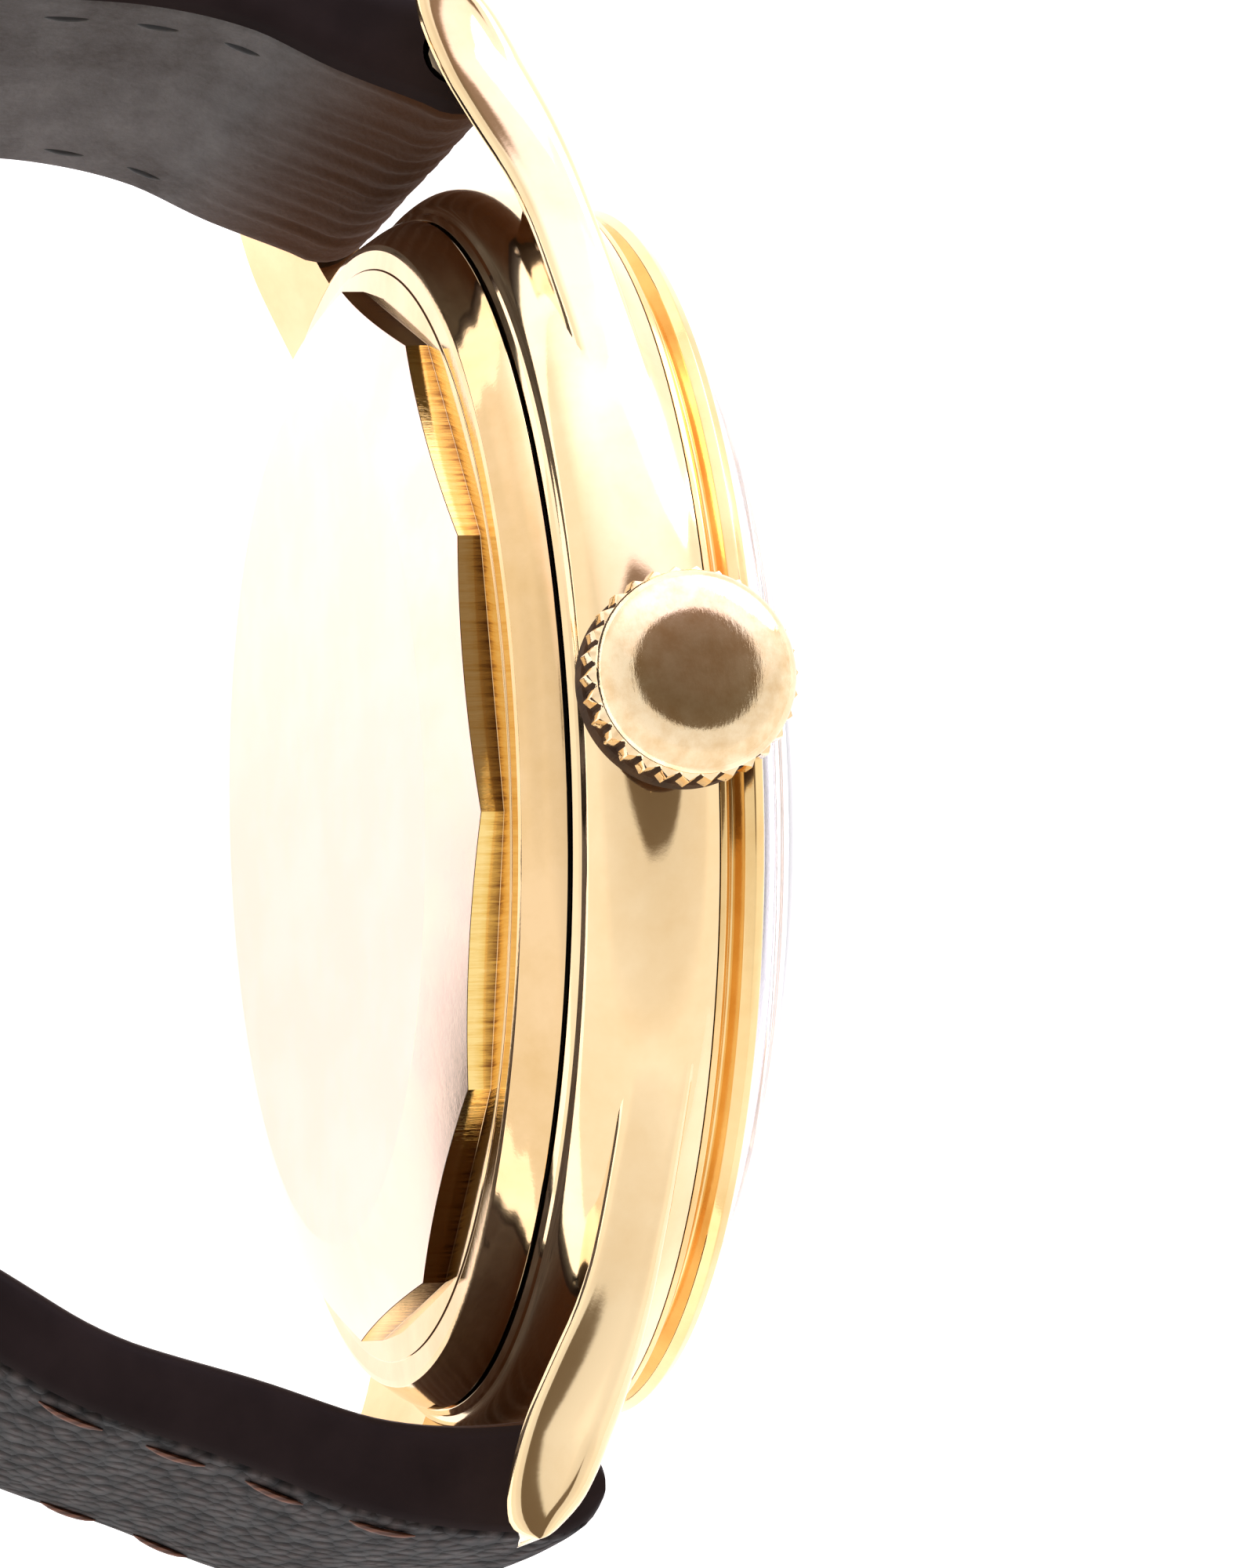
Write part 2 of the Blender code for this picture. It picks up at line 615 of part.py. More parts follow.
def buckle_half():
    """The short half, with its buckle, its tongue and its two keepers."""
    obj, points, outward, _ = strap_half("strap_12", -1, TWELVE_LINE, True)
    along = (points[-1] - points[-2]).normalized()
    at_end = (-1, points[-1], along, outward[-1])
    cut(obj, place(cylinder("buckle_eye", BUCKLE_BAR_RADIUS + 0.2, -10.0, 10.0), *at_end))
    cut(obj, place(box("tongue_notch", (-3.2, -3.0, -1.7), (4.0, 3.0, 1.7)), *at_end))
    finish(obj, LEATHER)
    finish(place(cylinder("buckle_bar", BUCKLE_BAR_RADIUS, -9.4, 9.4), *at_end), STEEL)

    frame = place(box("buckle_frame", (-1.6, -0.95, -BUCKLE_HALF_WIDTH),
                      (13.4, 0.95, BUCKLE_HALF_WIDTH)), *at_end)
    cut(frame, place(box("frame_window", (-3.0, -2.0, -WINDOW_HALF_WIDTH),
                         (11.2, 2.0, WINDOW_HALF_WIDTH)), *at_end))
    cut(frame, place(cylinder("frame_holes", BUCKLE_BAR_RADIUS + 0.12, -9.6, 9.6), *at_end))
    finish(frame, GOLD)

    half = TONGUE_WIDTH / 2
    tongue = place(plate("buckle_tongue", circle(1.4, 12, 15.0), -half, half), *at_end)
    side = [(0.0, 0.6), (4.5, 1.15), (13.0, 1.15), (13.4, 1.5), (12.8, 1.85), (4.2, 1.95), (0.0, 1.35)]
    add(tongue, place(plate("tongue_arm", side, -half, half), *at_end))
    cut(tongue, place(cylinder("tongue_bore", BUCKLE_BAR_RADIUS + 0.12, -3.0, 3.0), *at_end))
    finish(tongue, GOLD)

    for name, back in KEEPERS:
        here = points[-1 - back]
        spot = (-1, here, (points[-back] - points[-2 - back]).normalized(), outward[-1 - back])
        keeper = place(box(name, (-2.5, -2.5, -9.7), (2.5, 5.6, 9.7)), *spot)
        cut(keeper, place(box(name + "_inside", (-4.0, -1.6, -8.8), (4.0, 4.7, 8.8)), *spot))
        finish(keeper, LEATHER)


def tail_half():
    """The long half, with its row of holes and its pointed end."""
    obj, points, outward, step = strap_half("strap_6", 1, SIX_LINE, False)
    length = step * (len(points) - 1)
    for number in range(HOLES):
        run = length - FIRST_HOLE - number * HOLE_PITCH
        i = round(run / step)
        along = (points[i + 1] - points[i - 1]).normalized()
        hole = cylinder(f"strap_hole_{number}", HOLE_RADIUS, -3.0, 3.0, 8)
        hole.data.transform(Matrix.Rotation(pi / 2, 4, "X"))
        centre = points[i - 1].lerp(points[i], run / step - i + 1)
        cut(obj, place(hole, 1, centre, along, outward[i]))
    finish(obj, LEATHER)


def spring_bars():
    """A sprung pin at each end, with thin tips that sit in the lugs."""
    tip, body = SPRING_BAR_TIP, SPRING_BAR_RADIUS
    profile = [(0.0, 10.6), (tip, 10.6), (tip, 8.6), (body, 8.6), (body, -8.6), (tip, -8.6),
               (tip, -10.6), (0.0, -10.6)]
    for name, end in (("spring_bar_12", -1), ("spring_bar_6", 1)):
        bar = turned(name, profile, SMALL)
        bar.location = (end * SPRING_BAR_REACH * MM, -SPRING_BAR_HEIGHT * MM, 0.0)
        finish(bar, STEEL)


# ---------------------------------------------------------------- the watch

mid_case()
case_back()
bezel()
crystal()
small_case_rings()
crown()
winding_stem()
dial()
hour_markers()
hands()
wheels()
balance()
hairspring()
pallet_fork()
main_plate()
bridges()
rotor()
setting_lever()
buckle_half()
tail_half()
spring_bars()
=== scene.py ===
"""The looks of the wristwatch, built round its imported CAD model.

Lengths written as plain numbers are millimetres, and MM turns them into metres. A turned piece has a
profile of (radius, height), where height is measured from the flat face of the case back towards the dial.
A profile point may have a third number, the radius that its corner is rounded to.
"""
import json
from bisect import bisect_right
from math import cos, hypot, pi, radians, sin, sqrt, tan

import bmesh
import bpy
from mathutils import Matrix, Vector


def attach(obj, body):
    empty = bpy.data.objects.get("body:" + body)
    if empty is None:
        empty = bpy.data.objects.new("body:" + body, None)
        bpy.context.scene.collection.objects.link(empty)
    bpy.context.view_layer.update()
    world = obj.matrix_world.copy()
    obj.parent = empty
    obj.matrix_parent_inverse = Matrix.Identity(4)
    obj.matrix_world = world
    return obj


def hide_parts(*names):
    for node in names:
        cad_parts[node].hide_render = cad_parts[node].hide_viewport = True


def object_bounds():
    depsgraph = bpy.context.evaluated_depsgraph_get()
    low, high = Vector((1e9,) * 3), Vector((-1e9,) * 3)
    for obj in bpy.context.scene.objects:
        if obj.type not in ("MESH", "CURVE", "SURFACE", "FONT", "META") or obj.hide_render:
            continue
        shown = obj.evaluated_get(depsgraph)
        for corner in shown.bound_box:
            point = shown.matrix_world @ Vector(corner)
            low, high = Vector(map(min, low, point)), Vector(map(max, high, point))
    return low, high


MM = 0.001
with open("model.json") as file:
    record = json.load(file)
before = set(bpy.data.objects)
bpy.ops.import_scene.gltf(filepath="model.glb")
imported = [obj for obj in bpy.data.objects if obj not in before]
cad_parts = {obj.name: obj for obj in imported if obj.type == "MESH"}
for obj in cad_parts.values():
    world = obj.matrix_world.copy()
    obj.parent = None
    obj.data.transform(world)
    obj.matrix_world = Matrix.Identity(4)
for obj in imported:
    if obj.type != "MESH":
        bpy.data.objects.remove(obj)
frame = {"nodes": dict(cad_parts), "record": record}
cad_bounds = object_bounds()

# ------------------------------------------------------------------ sizes shared with the CAD model
STEM_HEIGHT = 5.29          # the crown's axis above the case back
BACK_TURN = 9.83            # degrees: one corner of the twelve-sided rim from X
BACK_SIDES = 12
RIM_RADIUS = 14.83          # to the corners of the twelve-sided rim
RIM_FOOT = 1.49
BACK_TOP = 2.7
FLANK_FOOT = 2.92
FLANK_TOP = 6.73
BORE_RADIUS = 14.5
LUG_ROOT = 6.0              # reach from the watch axis where a lug starts, inside the case
LUG_TIP = 21.6
LUG_INNER = 9.2             # half the space between the lugs
BAR_REACH = 19.9            # a spring bar, from the watch axis
BAR_HEIGHT = 2.99
BUCKLE_BAR = (13.2, -50.7)  # reach and height
STRAP_WIDTH = 17.6          # at the lugs
STRAP_END_WIDTH = 16.0
WIDTH_RUN = 55.0            # how far along a half its width keeps falling
STRAP_THICKNESS = 2.45
FOLD_THICKNESS = 3.4        # where a half folds round its spring bar
FOLD_RUN = 12.0
POINT_RUN = 13.0            # the length of the long half's pointed end
HOLES = 7
HOLE_PITCH = 6.0
FIRST_HOLE = 24.0           # from the tip of the long half
KEEPER_SPACING = 3.0        # a keeper's place is counted in steps of about this length
FIXED_KEEPER_STEPS = 4      # back from the buckle
SLIDING_KEEPER_STEPS = 8
# Each half's middle line, as (reach from the watch axis, height).
TWELVE_LINE = [(19.9, 2.99), (19.75, 0.5), (19.2, -2.0), (18.0, -5.0), (16.5, -9.0), (14.7, -11.9),
               (11.2, -17.0), (4.0, -27.0), (-4.6, -38.9), (-13.2, -50.7)]
SIX_LINE = [(19.9, 2.99), (20.8, 0.2), (21.9, -2.4), (22.5, -5.5), (22.7, -9.8), (23.4, -18.0),
            (25.0, -29.0), (27.2, -42.0), (28.6, -55.0), (26.6, -67.0), (20.5, -77.0), (11.0, -83.0),
            (1.0, -86.0)]

# ------------------------------------------------------------------ details that only the looks have
FLAT_RADIUS = 15.2          # everything on the back's flats is within this
STAIN_START = 0.95          # height on the flats where the patina begins
REFLECTION_LINE_RADIUS = 13.9         # beyond this, the rim's bevelled edge holds a dark line, a painted reflection
SLOPE_TOP = 1.1             # the disc and its sloping ring lie below this height
LIP_HEIGHT = 2.83           # the flank's foot, which narrows the seam outside the gasket
CROWN_TEETH = 30
STEPS_PER_TOOTH = 12
TOOTH_RISE, TOOTH_DROP = 0.21, 0.03
SHADE_TOP = 19.54           # the crown's foot below this is painted dark, as painted shade
TEETH_TOP = 20.40
VALLEY_RADIUS = 2.74        # the painted shade between the teeth lies within this
CREASE_DEPTH = 0.07         # the lining's creases near a spring bar
CREASE_REACH = 5.0          # how far along the strap they fade out
STAIN_REACH = (1.9, 4.6)    # the brown stain round a spring bar fades between these
EDGE_ROUND = 0.45           # the strap's rounded edges
FACE_CROWN = 0.12           # how far the outer face falls at its sides, as a part of half the thickness
NOSE_REACH = 1.68           # the fold runs on past its spring bar by this
NOSE_RADIUS = 1.7
TAIL_REACH = 1.15           # the rounded tip past the end of a half's middle line
TAIL_RADIUS = 1.2
SPRING_BAR_HOLE = 0.95      # the radii of the strap's holes
BUCKLE_BAR_HOLE = 0.78
PUNCHED_HOLE = 0.85
FLOOR_GAP = 0.2             # between the watch's lowest point and the floor
TENT_MOUTH = Vector((0.14, -0.16, 0.97)).normalized()       # towards the tent's dark mouth
MOUTH_SHAPE = (1.0, 0.82, 1.0)      # the mouth is wider from the dial side to the back than along the strap
TENT_PANEL = Vector((0.82, -0.22, 0.53)).normalized()       # towards its bright panel
DIM_GLOW, BRIGHT_GLOW = 0.35, 0.95  # of the floor's painted glow, on the dial side and on the case-back side

EVEN = (1.0, 1.0, 1.0)      # a texture that isn't stretched
HAIRLINE = 0.02 * MM        # the depth of fine scratches
STRAP_FACE, STRAP_EDGE, STRAP_LINING = 0, 1, 2      # material numbers of a strap half
MIX_A, MIX_B, MIX_RESULT = 6, 7, 2                  # the colour sockets of a Mix node


# ------------------------------------------------------------------ material helpers


class Tree:
    """Short calls that add and link the nodes of a material or of the world."""

    def __init__(self, tree):
        self.tree = tree

    def feed(self, socket, value):
        """Gives a socket a plain value, or links another node's output to it."""
        if isinstance(value, bpy.types.NodeSocket):
            self.tree.links.new(value, socket)
        else:
            socket.default_value = value

    def add(self, kind, *values, **settings):
        """A node. Settings go to the inputs or attributes of that name, and values to its inputs in order."""
        made = self.tree.nodes.new("ShaderNode" + kind)
        for key, value in settings.items():
            title = key.replace("_", " ")
            if title in made.inputs.keys():
                self.feed(made.inputs[title], value)
            else:
                setattr(made, key, value)
        for socket, value in zip(made.inputs, values):
            self.feed(socket, value)
        return made

    def coordinate(self, axis):
        """One of the object coordinates."""
        where = self.add("TexCoord").outputs["Object"]
        return self.add("SeparateXYZ", where).outputs[axis]

    def placed(self, stretch=EVEN):
        """Object coordinates, stretched so that a noise can run as lines."""
        where = self.add("TexCoord").outputs["Object"]
        return self.add("Mapping", Vector=where, Scale=stretch).outputs["Vector"]

    def noise(self, place, scale, detail, **settings):
        return self.add("TexNoise", Vector=place, Scale=scale, Detail=detail, **settings).outputs["Fac"]

    def ranged(self, value, low, high, from_low=0.0, from_high=1.0):
        """A value's range, mapped to low and high."""
        return self.add("MapRange", Value=value, From_Min=from_low, From_Max=from_high,
                        To_Min=low, To_Max=high).outputs["Result"]

    def maths(self, operation, *values):
        return self.add("Math", *values, operation=operation).outputs[0]

    def ramp(self, value, stops):
        """A colour that follows a value through stops of (place, colour)."""
        made = self.add("ValToRGB", value)
        while len(made.color_ramp.elements) < len(stops):
            made.color_ramp.elements.new(0.5)
        for element, (place, colour) in zip(made.color_ramp.elements, stops):
            element.position = place
            element.color = (*colour, 1.0)
        return made.outputs["Color"]


class Finish(Tree):
    """A Principled material, with plain values set on the shader's own sockets."""

    def __init__(self, name, **settings):
        self.material = bpy.data.materials.new(name)
        self.material.use_nodes = True
        super().__init__(self.material.node_tree)
        self.shader = self.tree.nodes["Principled BSDF"]
        self.set(**settings)

    def set(self, **settings):
        """Gives the shader's sockets plain values or outputs."""
        for socket, value in settings.items():
            self.feed(self.shader.inputs[socket.replace("_", " ")], value)

    def bump(self, height, strength, distance):
        raised = self.add("Bump", Strength=strength, Distance=distance, Height=height)
        self.set(Normal=raised.outputs["Normal"])


def gold(name, light, deep, rough, scratch, tarnish, stretch=EVEN, patches=260.0):
    """Polished gold plate: cloudy wear in its gloss, hairline scratches, and tarnish in patches.

    The roughness has to stay wholly below 0.27: the denoiser leaves specks where it crosses that.
    """
    finish = Finish(name, Metallic=1.0)
    cloud = finish.noise(finish.placed(), patches, 6.0, Roughness=0.6)
    hair = finish.noise(finish.placed(stretch), 2200.0, 4.0, Roughness=0.7)
    finish.set(Base_Color=finish.ramp(cloud, [(0.5 - tarnish, deep), (0.62, light)]))
    finish.set(Roughness=finish.ranged(cloud, rough * 0.7, rough * 1.6, 0.3, 0.75))
    finish.bump(hair, scratch, HAIRLINE)
    return finish.material


def worn_flats():
    """The finish of the back's flats: bright gold, scratched across, with brown patina towards their foot."""
    finish = Finish("flat_gold", Metallic=1.0, Roughness=0.07)
    scratches = finish.noise(finish.placed((1.0, 0.06, 1.0)), 7500.0, 4.0, Roughness=0.75)
    foot = finish.ranged(finish.coordinate("Y"), 0.0, 1.0, -STAIN_START * MM, -RIM_FOOT * MM)
    stain = finish.maths("MULTIPLY_ADD", foot, 0.42, scratches)
    finish.set(Base_Color=finish.ramp(stain, [(0.45, (0.96, 0.70, 0.27)), (0.72, (0.84, 0.52, 0.13)),
                                              (1.0, (0.26, 0.11, 0.03))]))
    finish.bump(scratches, 0.2, HAIRLINE)
    return finish.material


def metal(name, colour, rough, stretch):
    """Brushed metal for the pieces inside and the pins."""
    finish = Finish(name, Metallic=1.0, Roughness=rough)
    grain = finish.noise(finish.placed(stretch), 1500.0, 3.0)
    finish.set(Base_Color=finish.ramp(grain, [(0.3, tuple(c * 0.8 for c in colour)), (0.7, colour)]))
    finish.bump(grain, 0.15, HAIRLINE)
    return finish.material


def grained_leather():
    """The strap's outer face: small squarish scales with a grey sheen on dark brown."""
    finish = Finish("grained_leather", Sheen_Weight=0.01, Sheen_Roughness=0.4,
                    Sheen_Tint=(0.7, 0.68, 0.7, 1.0), Specular_IOR_Level=0.09)
    where = finish.placed((1.0, 1.0, 0.42))
    scales = finish.add("TexVoronoi", Vector=where, Scale=2300.0, Randomness=0.75).outputs["Distance"]
    fine = finish.noise(where, 900.0, 5.0)
    finish.set(Base_Color=finish.ramp(scales, [(0.15, (0.034, 0.024, 0.022)), (0.5, (0.012, 0.008, 0.007)),
                                               (0.7, (0.002, 0.001, 0.001))]))
    finish.set(Roughness=finish.ranged(fine, 0.50, 0.85))
    finish.bump(finish.maths("MULTIPLY_ADD", scales, -1.0, fine), 0.9, 0.3 * MM)
    return finish.material


def painted_edge():
    """The strap's cut edges: smooth dark edge paint, a little uneven."""
    finish = Finish("painted_edge", Specular_IOR_Level=0.08)
    cloud = finish.noise(finish.placed(), 420.0, 5.0)
    finish.set(Base_Color=finish.ramp(cloud, [(0.35, (0.013, 0.0078, 0.0078)),
                                              (0.7, (0.021, 0.0128, 0.0126))]))
    finish.set(Roughness=finish.ranged(cloud, 0.4, 0.6))
    finish.bump(cloud, 0.35, 0.06 * MM)
    return finish.material


def near_spring_bar(finish):
    """1 on the leather round a spring bar, falling to 0 a few millimetres along the strap."""
    reach = finish.maths("ABSOLUTE", finish.coordinate("X"))
    section = finish.add("CombineXYZ", X=reach, Y=finish.coordinate("Y")).outputs["Vector"]
    bar = (BAR_REACH * MM, -BAR_HEIGHT * MM, 0.0)
    gap = finish.add("VectorMath", section, bar, operation="DISTANCE").outputs["Value"]
    return finish.ranged(gap, 1.0, 0.0, STAIN_REACH[0] * MM, STAIN_REACH[1] * MM)


def nubuck():
    """The strap's lining: matt grey suede, stained brown near a spring bar."""
    finish = Finish("nubuck", Sheen_Weight=0.05, Sheen_Roughness=0.5, Roughness=0.9,
                    Sheen_Tint=(0.8, 0.78, 0.8, 1.0), Specular_IOR_Level=0.1)
    where = finish.placed((1.0, 1.0, 0.5))
    cloud = finish.noise(where, 240.0, 8.0, Roughness=0.7)
    nap = finish.noise(where, 5200.0, 2.0)
    clean = finish.ramp(cloud, [(0.3, (0.050, 0.040, 0.037)), (0.5, (0.100, 0.092, 0.090)),
                                (0.72, (0.160, 0.150, 0.148))])
    worn = finish.add("Mix", near_spring_bar(finish), data_type="RGBA")
    finish.feed(worn.inputs[MIX_A], clean)
    finish.feed(worn.inputs[MIX_B], (0.060, 0.026, 0.012, 1.0))
    finish.set(Base_Color=worn.outputs[MIX_RESULT])
    finish.bump(nap, 0.6, 0.08 * MM)
    return finish.material


def thread(name, colour):
    """Waxed thread, with its twist as fine bands."""
    finish = Finish(name, Roughness=0.6)
    twist = finish.add("TexWave", Vector=finish.placed(), Scale=1800.0, Distortion=2.0).outputs["Fac"]
    finish.set(Base_Color=finish.ramp(twist, [(0.2, tuple(c * 0.5 for c in colour)), (0.8, colour)]))
    finish.bump(twist, 0.5, 0.03 * MM)
    return finish.material


def acrylic():
    """Clear acrylic with a faint lilac cast and faint polishing marks."""
    finish = Finish("acrylic", IOR=1.49, Transmission_Weight=1.0, Roughness=0.03,
                    Base_Color=(0.95, 0.935, 0.97, 1.0))
    finish.bump(finish.noise(finish.placed((1.0, 1.0, 4.0)), 900.0, 6.0), 0.03, HAIRLINE)
    return finish.material


def dial_finish():
    """A cream dial, brushed outwards from its middle as a sunburst."""
    finish = Finish("dial_finish", Metallic=0.3, Roughness=0.38)
    angle = finish.maths("ARCTAN2", finish.coordinate("X"), finish.coordinate("Z"))
    rays = finish.add("TexNoise", noise_dimensions="1D", Scale=60.0, Detail=6.0, W=angle).outputs["Fac"]
    finish.set(Base_Color=finish.ramp(rays, [(0.3, (0.74, 0.69, 0.59)), (0.7, (0.86, 0.82, 0.73))]))
    finish.bump(rays, 0.1, HAIRLINE)
    return finish.material


def dull(name, dark, light):
    """A matt dark surface with a fine mottle: rubber, and the painted shade on the crown's foot and between
    its teeth, and a painted dark reflection along the back's rim.
    """
    finish = Finish(name, Roughness=0.7, Specular_IOR_Level=0.15)
    grain = finish.noise(finish.placed(), 1200.0, 3.0)
    finish.set(Base_Color=finish.ramp(grain, [(0.3, dark), (0.7, light)]))
    return finish.material


CASE_GOLD = gold("case_gold", (0.93, 0.71, 0.43), (0.84, 0.58, 0.30), 0.07, 0.06, 0.28)
BACK_GOLD = gold("back_gold", (0.83, 0.58, 0.32), (0.71, 0.46, 0.20), 0.07, 0.10, 0.22)
DISC_GOLD = gold("disc_gold", (0.92, 0.71, 0.60), (0.87, 0.66, 0.53), 0.16, 0.10, 0.06)
FLAT_GOLD = worn_flats()
CROWN_GOLD = gold("crown_gold", (0.95, 0.75, 0.49), (0.80, 0.56, 0.31), 0.07, 0.30, 0.16,
                  stretch=(1.0, 3.0, 1.0), patches=1500.0)
BEZEL_GOLD = gold("bezel_gold", (0.91, 0.65, 0.32), (0.74, 0.47, 0.18), 0.10, 0.10, 0.25)
BUCKLE_GOLD = gold("buckle_gold", (0.92, 0.69, 0.39), (0.80, 0.53, 0.25), 0.10, 0.12, 0.28)
GILT = gold("gilt", (0.92, 0.70, 0.42), (0.85, 0.60, 0.32), 0.08, 0.02, 0.25)
BRASS = metal("movement_brass", (0.78, 0.62, 0.36), 0.3, (1.0, 1.0, 8.0))
STEEL = metal("brushed_steel", (0.62, 0.62, 0.64), 0.28, (1.0, 1.0, 8.0))
ACRYLIC = acrylic()
DIAL = dial_finish()
RUBBER = dull("black_rubber", (0.008, 0.008, 0.009), (0.02, 0.02, 0.021))
# The dark material below is painted shade on the crown and a painted dark reflection on the back's rim.
PAINTED_SHADE = dull("painted_shade", (0.020, 0.008, 0.003), (0.075, 0.034, 0.012))
GRAIN = grained_leather()
EDGE = painted_edge()
LINING = nubuck()
BROWN_THREAD = thread("brown_thread", (0.13, 0.040, 0.016))
BLACK_THREAD = thread("black_thread", (0.006, 0.0055, 0.006))


# ------------------------------------------------------------------ mesh helpers


def watch_point(across, up, height):
    """A point given by its place across the dial (towards six), up (towards the crown) and its height."""
    return Vector((across, -height, up)) * MM


def round_angles(steps):
    """Evenly spaced angles of one full turn."""
    return [2 * pi * i / steps for i in range(steps)]


def mesh_object(name, shape):
    mesh = bpy.data.meshes.new(name)
    shape.normal_update()
    shape.to_mesh(mesh)
    shape.free()
    obj = bpy.data.objects.new(name, mesh)
    bpy.context.scene.collection.objects.link(obj)
    return obj


def dress(obj, materials, body, stands_for, smooth_angle=35.0):
    """Makes an object a piece: its materials, its shading, the body it rides and the nodes it stands for."""
    for paint in materials:
        obj.data.materials.append(paint)
    obj.data.shade_smooth()
    obj.data.set_sharp_from_angle(angle=radians(smooth_angle))
    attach(obj, body)
    if stands_for:
        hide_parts(*stands_for)


def make_piece(name, shape, materials, body, stands_for, smooth_angle=35.0):
    dress(mesh_object(name, shape), materials, body, stands_for, smooth_angle)


def skin(shape, loops, closed_ring=False, caps=False):
    """Joins rows of vertices with quads. Each row is a closed loop."""
    rows = [[shape.verts.new(point) for point in loop] for loop in loops]
    pairs = list(zip(rows, rows[1:]))
    if closed_ring:
        pairs.append((rows[-1], rows[0]))
    faces = []
    for one, two in pairs:
        count = len(one)
        for i in range(count):
            j = (i + 1) % count
            faces.append(shape.faces.new((one[i], one[j], two[j], two[i])))
    if caps:
        faces.append(shape.faces.new(list(reversed(rows[0]))))
        faces.append(shape.faces.new(rows[-1]))
    return faces


def face_outwards(shape):
    bmesh.ops.recalc_face_normals(shape, faces=shape.faces)


def lofted(loops, closed_ring=False, caps=False, merged=False):
    """A bmesh skinned over its loops. Merged joins the points of a loop that has shrunk to its middle."""
    shape = bmesh.new()
    skin(shape, loops, closed_ring, caps)
    if merged:
        bmesh.ops.remove_doubles(shape, verts=shape.verts, dist=1e-7)
    face_outwards(shape)
    return shape


def cylinder(radius, length, matrix, steps=32):
    """A closed cylinder along the Z of a matrix."""
    shape = bmesh.new()
    bmesh.ops.create_cone(shape, cap_ends=True, segments=steps, radius1=radius * MM, radius2=radius * MM,
                          depth=length * MM, matrix=matrix)
    return shape


def filleted(points, radius, closed, steps=4):
    """Rounds the corners of a profile. A point may carry its own radius as a third number."""
    made = []
    count = len(points)
    for i, point in enumerate(points):
        here = Vector(point[:2])
        own = point[2] if len(point) > 2 else radius
        if own <= 0 or (not closed and i in (0, count - 1)):
            made.append(here)
            continue
        before = Vector(points[i - 1][:2]) - here
        after = Vector(points[(i + 1) % count][:2]) - here
        turn = before.angle(after)
        if turn > radians(176):
            made.append(here)
            continue
        reach = min(own / tan(turn / 2), before.length * 0.45, after.length * 0.45)
        start, end = here + before.normalized() * reach, here + after.normalized() * reach
        for k in range(steps + 1):
            t = k / steps
            made.append(start * (1 - t) ** 2 + here * 2 * t * (1 - t) + end * t * t)
    return made


def turn_profile(profile, steps, closed=True):
    """A bmesh turned about the watch axis from a profile of (radius, height)."""
    loops = []
    for radius, height in profile:
        loops.append([watch_point(radius * cos(a), radius * sin(a), height) for a in round_angles(steps)])
    return lofted(loops, closed, merged=True)


def spline(knots, per_span=6):
    """Points along a Catmull-Rom curve through the knots."""
    ends = [2 * Vector(knots[0]) - Vector(knots[1])] + [Vector(k) for k in knots]
    ends.append(2 * ends[-1] - ends[-2])
    made = []
    for a, b, c, d in zip(ends, ends[1:], ends[2:], ends[3:]):
        for step in range(per_span):
            t = step / per_span
            made.append(0.5 * (2 * b + (c - a) * t + (2 * a - 5 * b + 4 * c - d) * t * t
                               + (3 * b - a - 3 * c + d) * t ** 3))
    made.append(ends[-2])
    return made


def smooth_part(knots):
    """A stretch of profile along the curve through the knots, whose points aren't rounded again."""
    return [(p.x, p.y, 0.0) for p in spline(knots)]


def apply_modifiers(obj):
    """Makes the shape that an object's modifiers give its own mesh."""
    bpy.context.view_layer.update()
    made = bpy.data.meshes.new_from_object(obj.evaluated_get(bpy.context.evaluated_depsgraph_get()))
    obj.modifiers.clear()
    obj.data = made


def boolean(obj, tool, operation):
    """Applies a Boolean at once and removes the tool."""
    modifier = obj.modifiers.new("boolean", "BOOLEAN")
    modifier.operation = operation
    modifier.object = tool
    apply_modifiers(obj)
    bpy.data.objects.remove(tool, do_unlink=True)


def softened(obj, width, angle):
    """Bevels the sharp edges of a mesh by a width in millimetres, at once."""
    modifier = obj.modifiers.new("edges", "BEVEL")
    modifier.width = width * MM
    modifier.segments = 2
    modifier.limit_method = "ANGLE"
    modifier.angle_limit = radians(angle)
    modifier.use_clamp_overlap = True
    apply_modifiers(obj)


# ------------------------------------------------------------------ case

FLANK = [(17.0, 3.03), (17.28, 3.2), (17.64, 3.7), (17.86, 4.4), (17.9, 5.0), (17.84, 5.6), (17.66, 6.2),
         (17.37, 6.7)]
# A lug's edges and its outer face, as (reach, height) twice and (reach, distance outwards).
LUG_BACK = spline([(6.0, 4.3), (10.0, 4.2), (12.0, 4.0), (14.0, 3.64), (15.5, 3.14), (17.0, 2.4), (18.5, 1.7),
                   (20.0, 1.25), (21.0, 1.2), (21.4, 1.45), (21.6, 1.95)])
LUG_FRONT = spline([(6.0, 6.4), (8.0, 6.35), (12.0, 5.95), (14.5, 5.54), (16.5, 5.1), (18.3, 4.54),
                    (19.7, 3.95), (20.6, 3.4), (21.2, 2.75), (21.5, 2.3), (21.6, 2.0)])
LUG_PLAN = spline([(6.0, 16.80), (8.0, 15.98), (10.0, 14.90), (12.0, 13.97), (14.0, 13.24), (16.0, 12.70),
                   (18.0, 12.28), (20.0, 11.95), (21.6, 11.75)])


def on_line(line, reach):
    """The second number of a line of (reach, number), at a distance from the watch axis."""
    for (r0, n0), (r1, n1) in zip(line, line[1:]):
        if reach <= r1:
            return n0 + (n1 - n0) * max(0.0, reach - r0) / (r1 - r0)
    return line[-1][1]


def arc_points(centre, radius, first, last, steps=7):
    """Points along an arc, with its angles in degrees."""
    angles = [radians(first + (last - first) * k / steps) for k in range(steps + 1)]
    return [(centre[0] + radius * cos(a), centre[1] + radius * sin(a)) for a in angles]


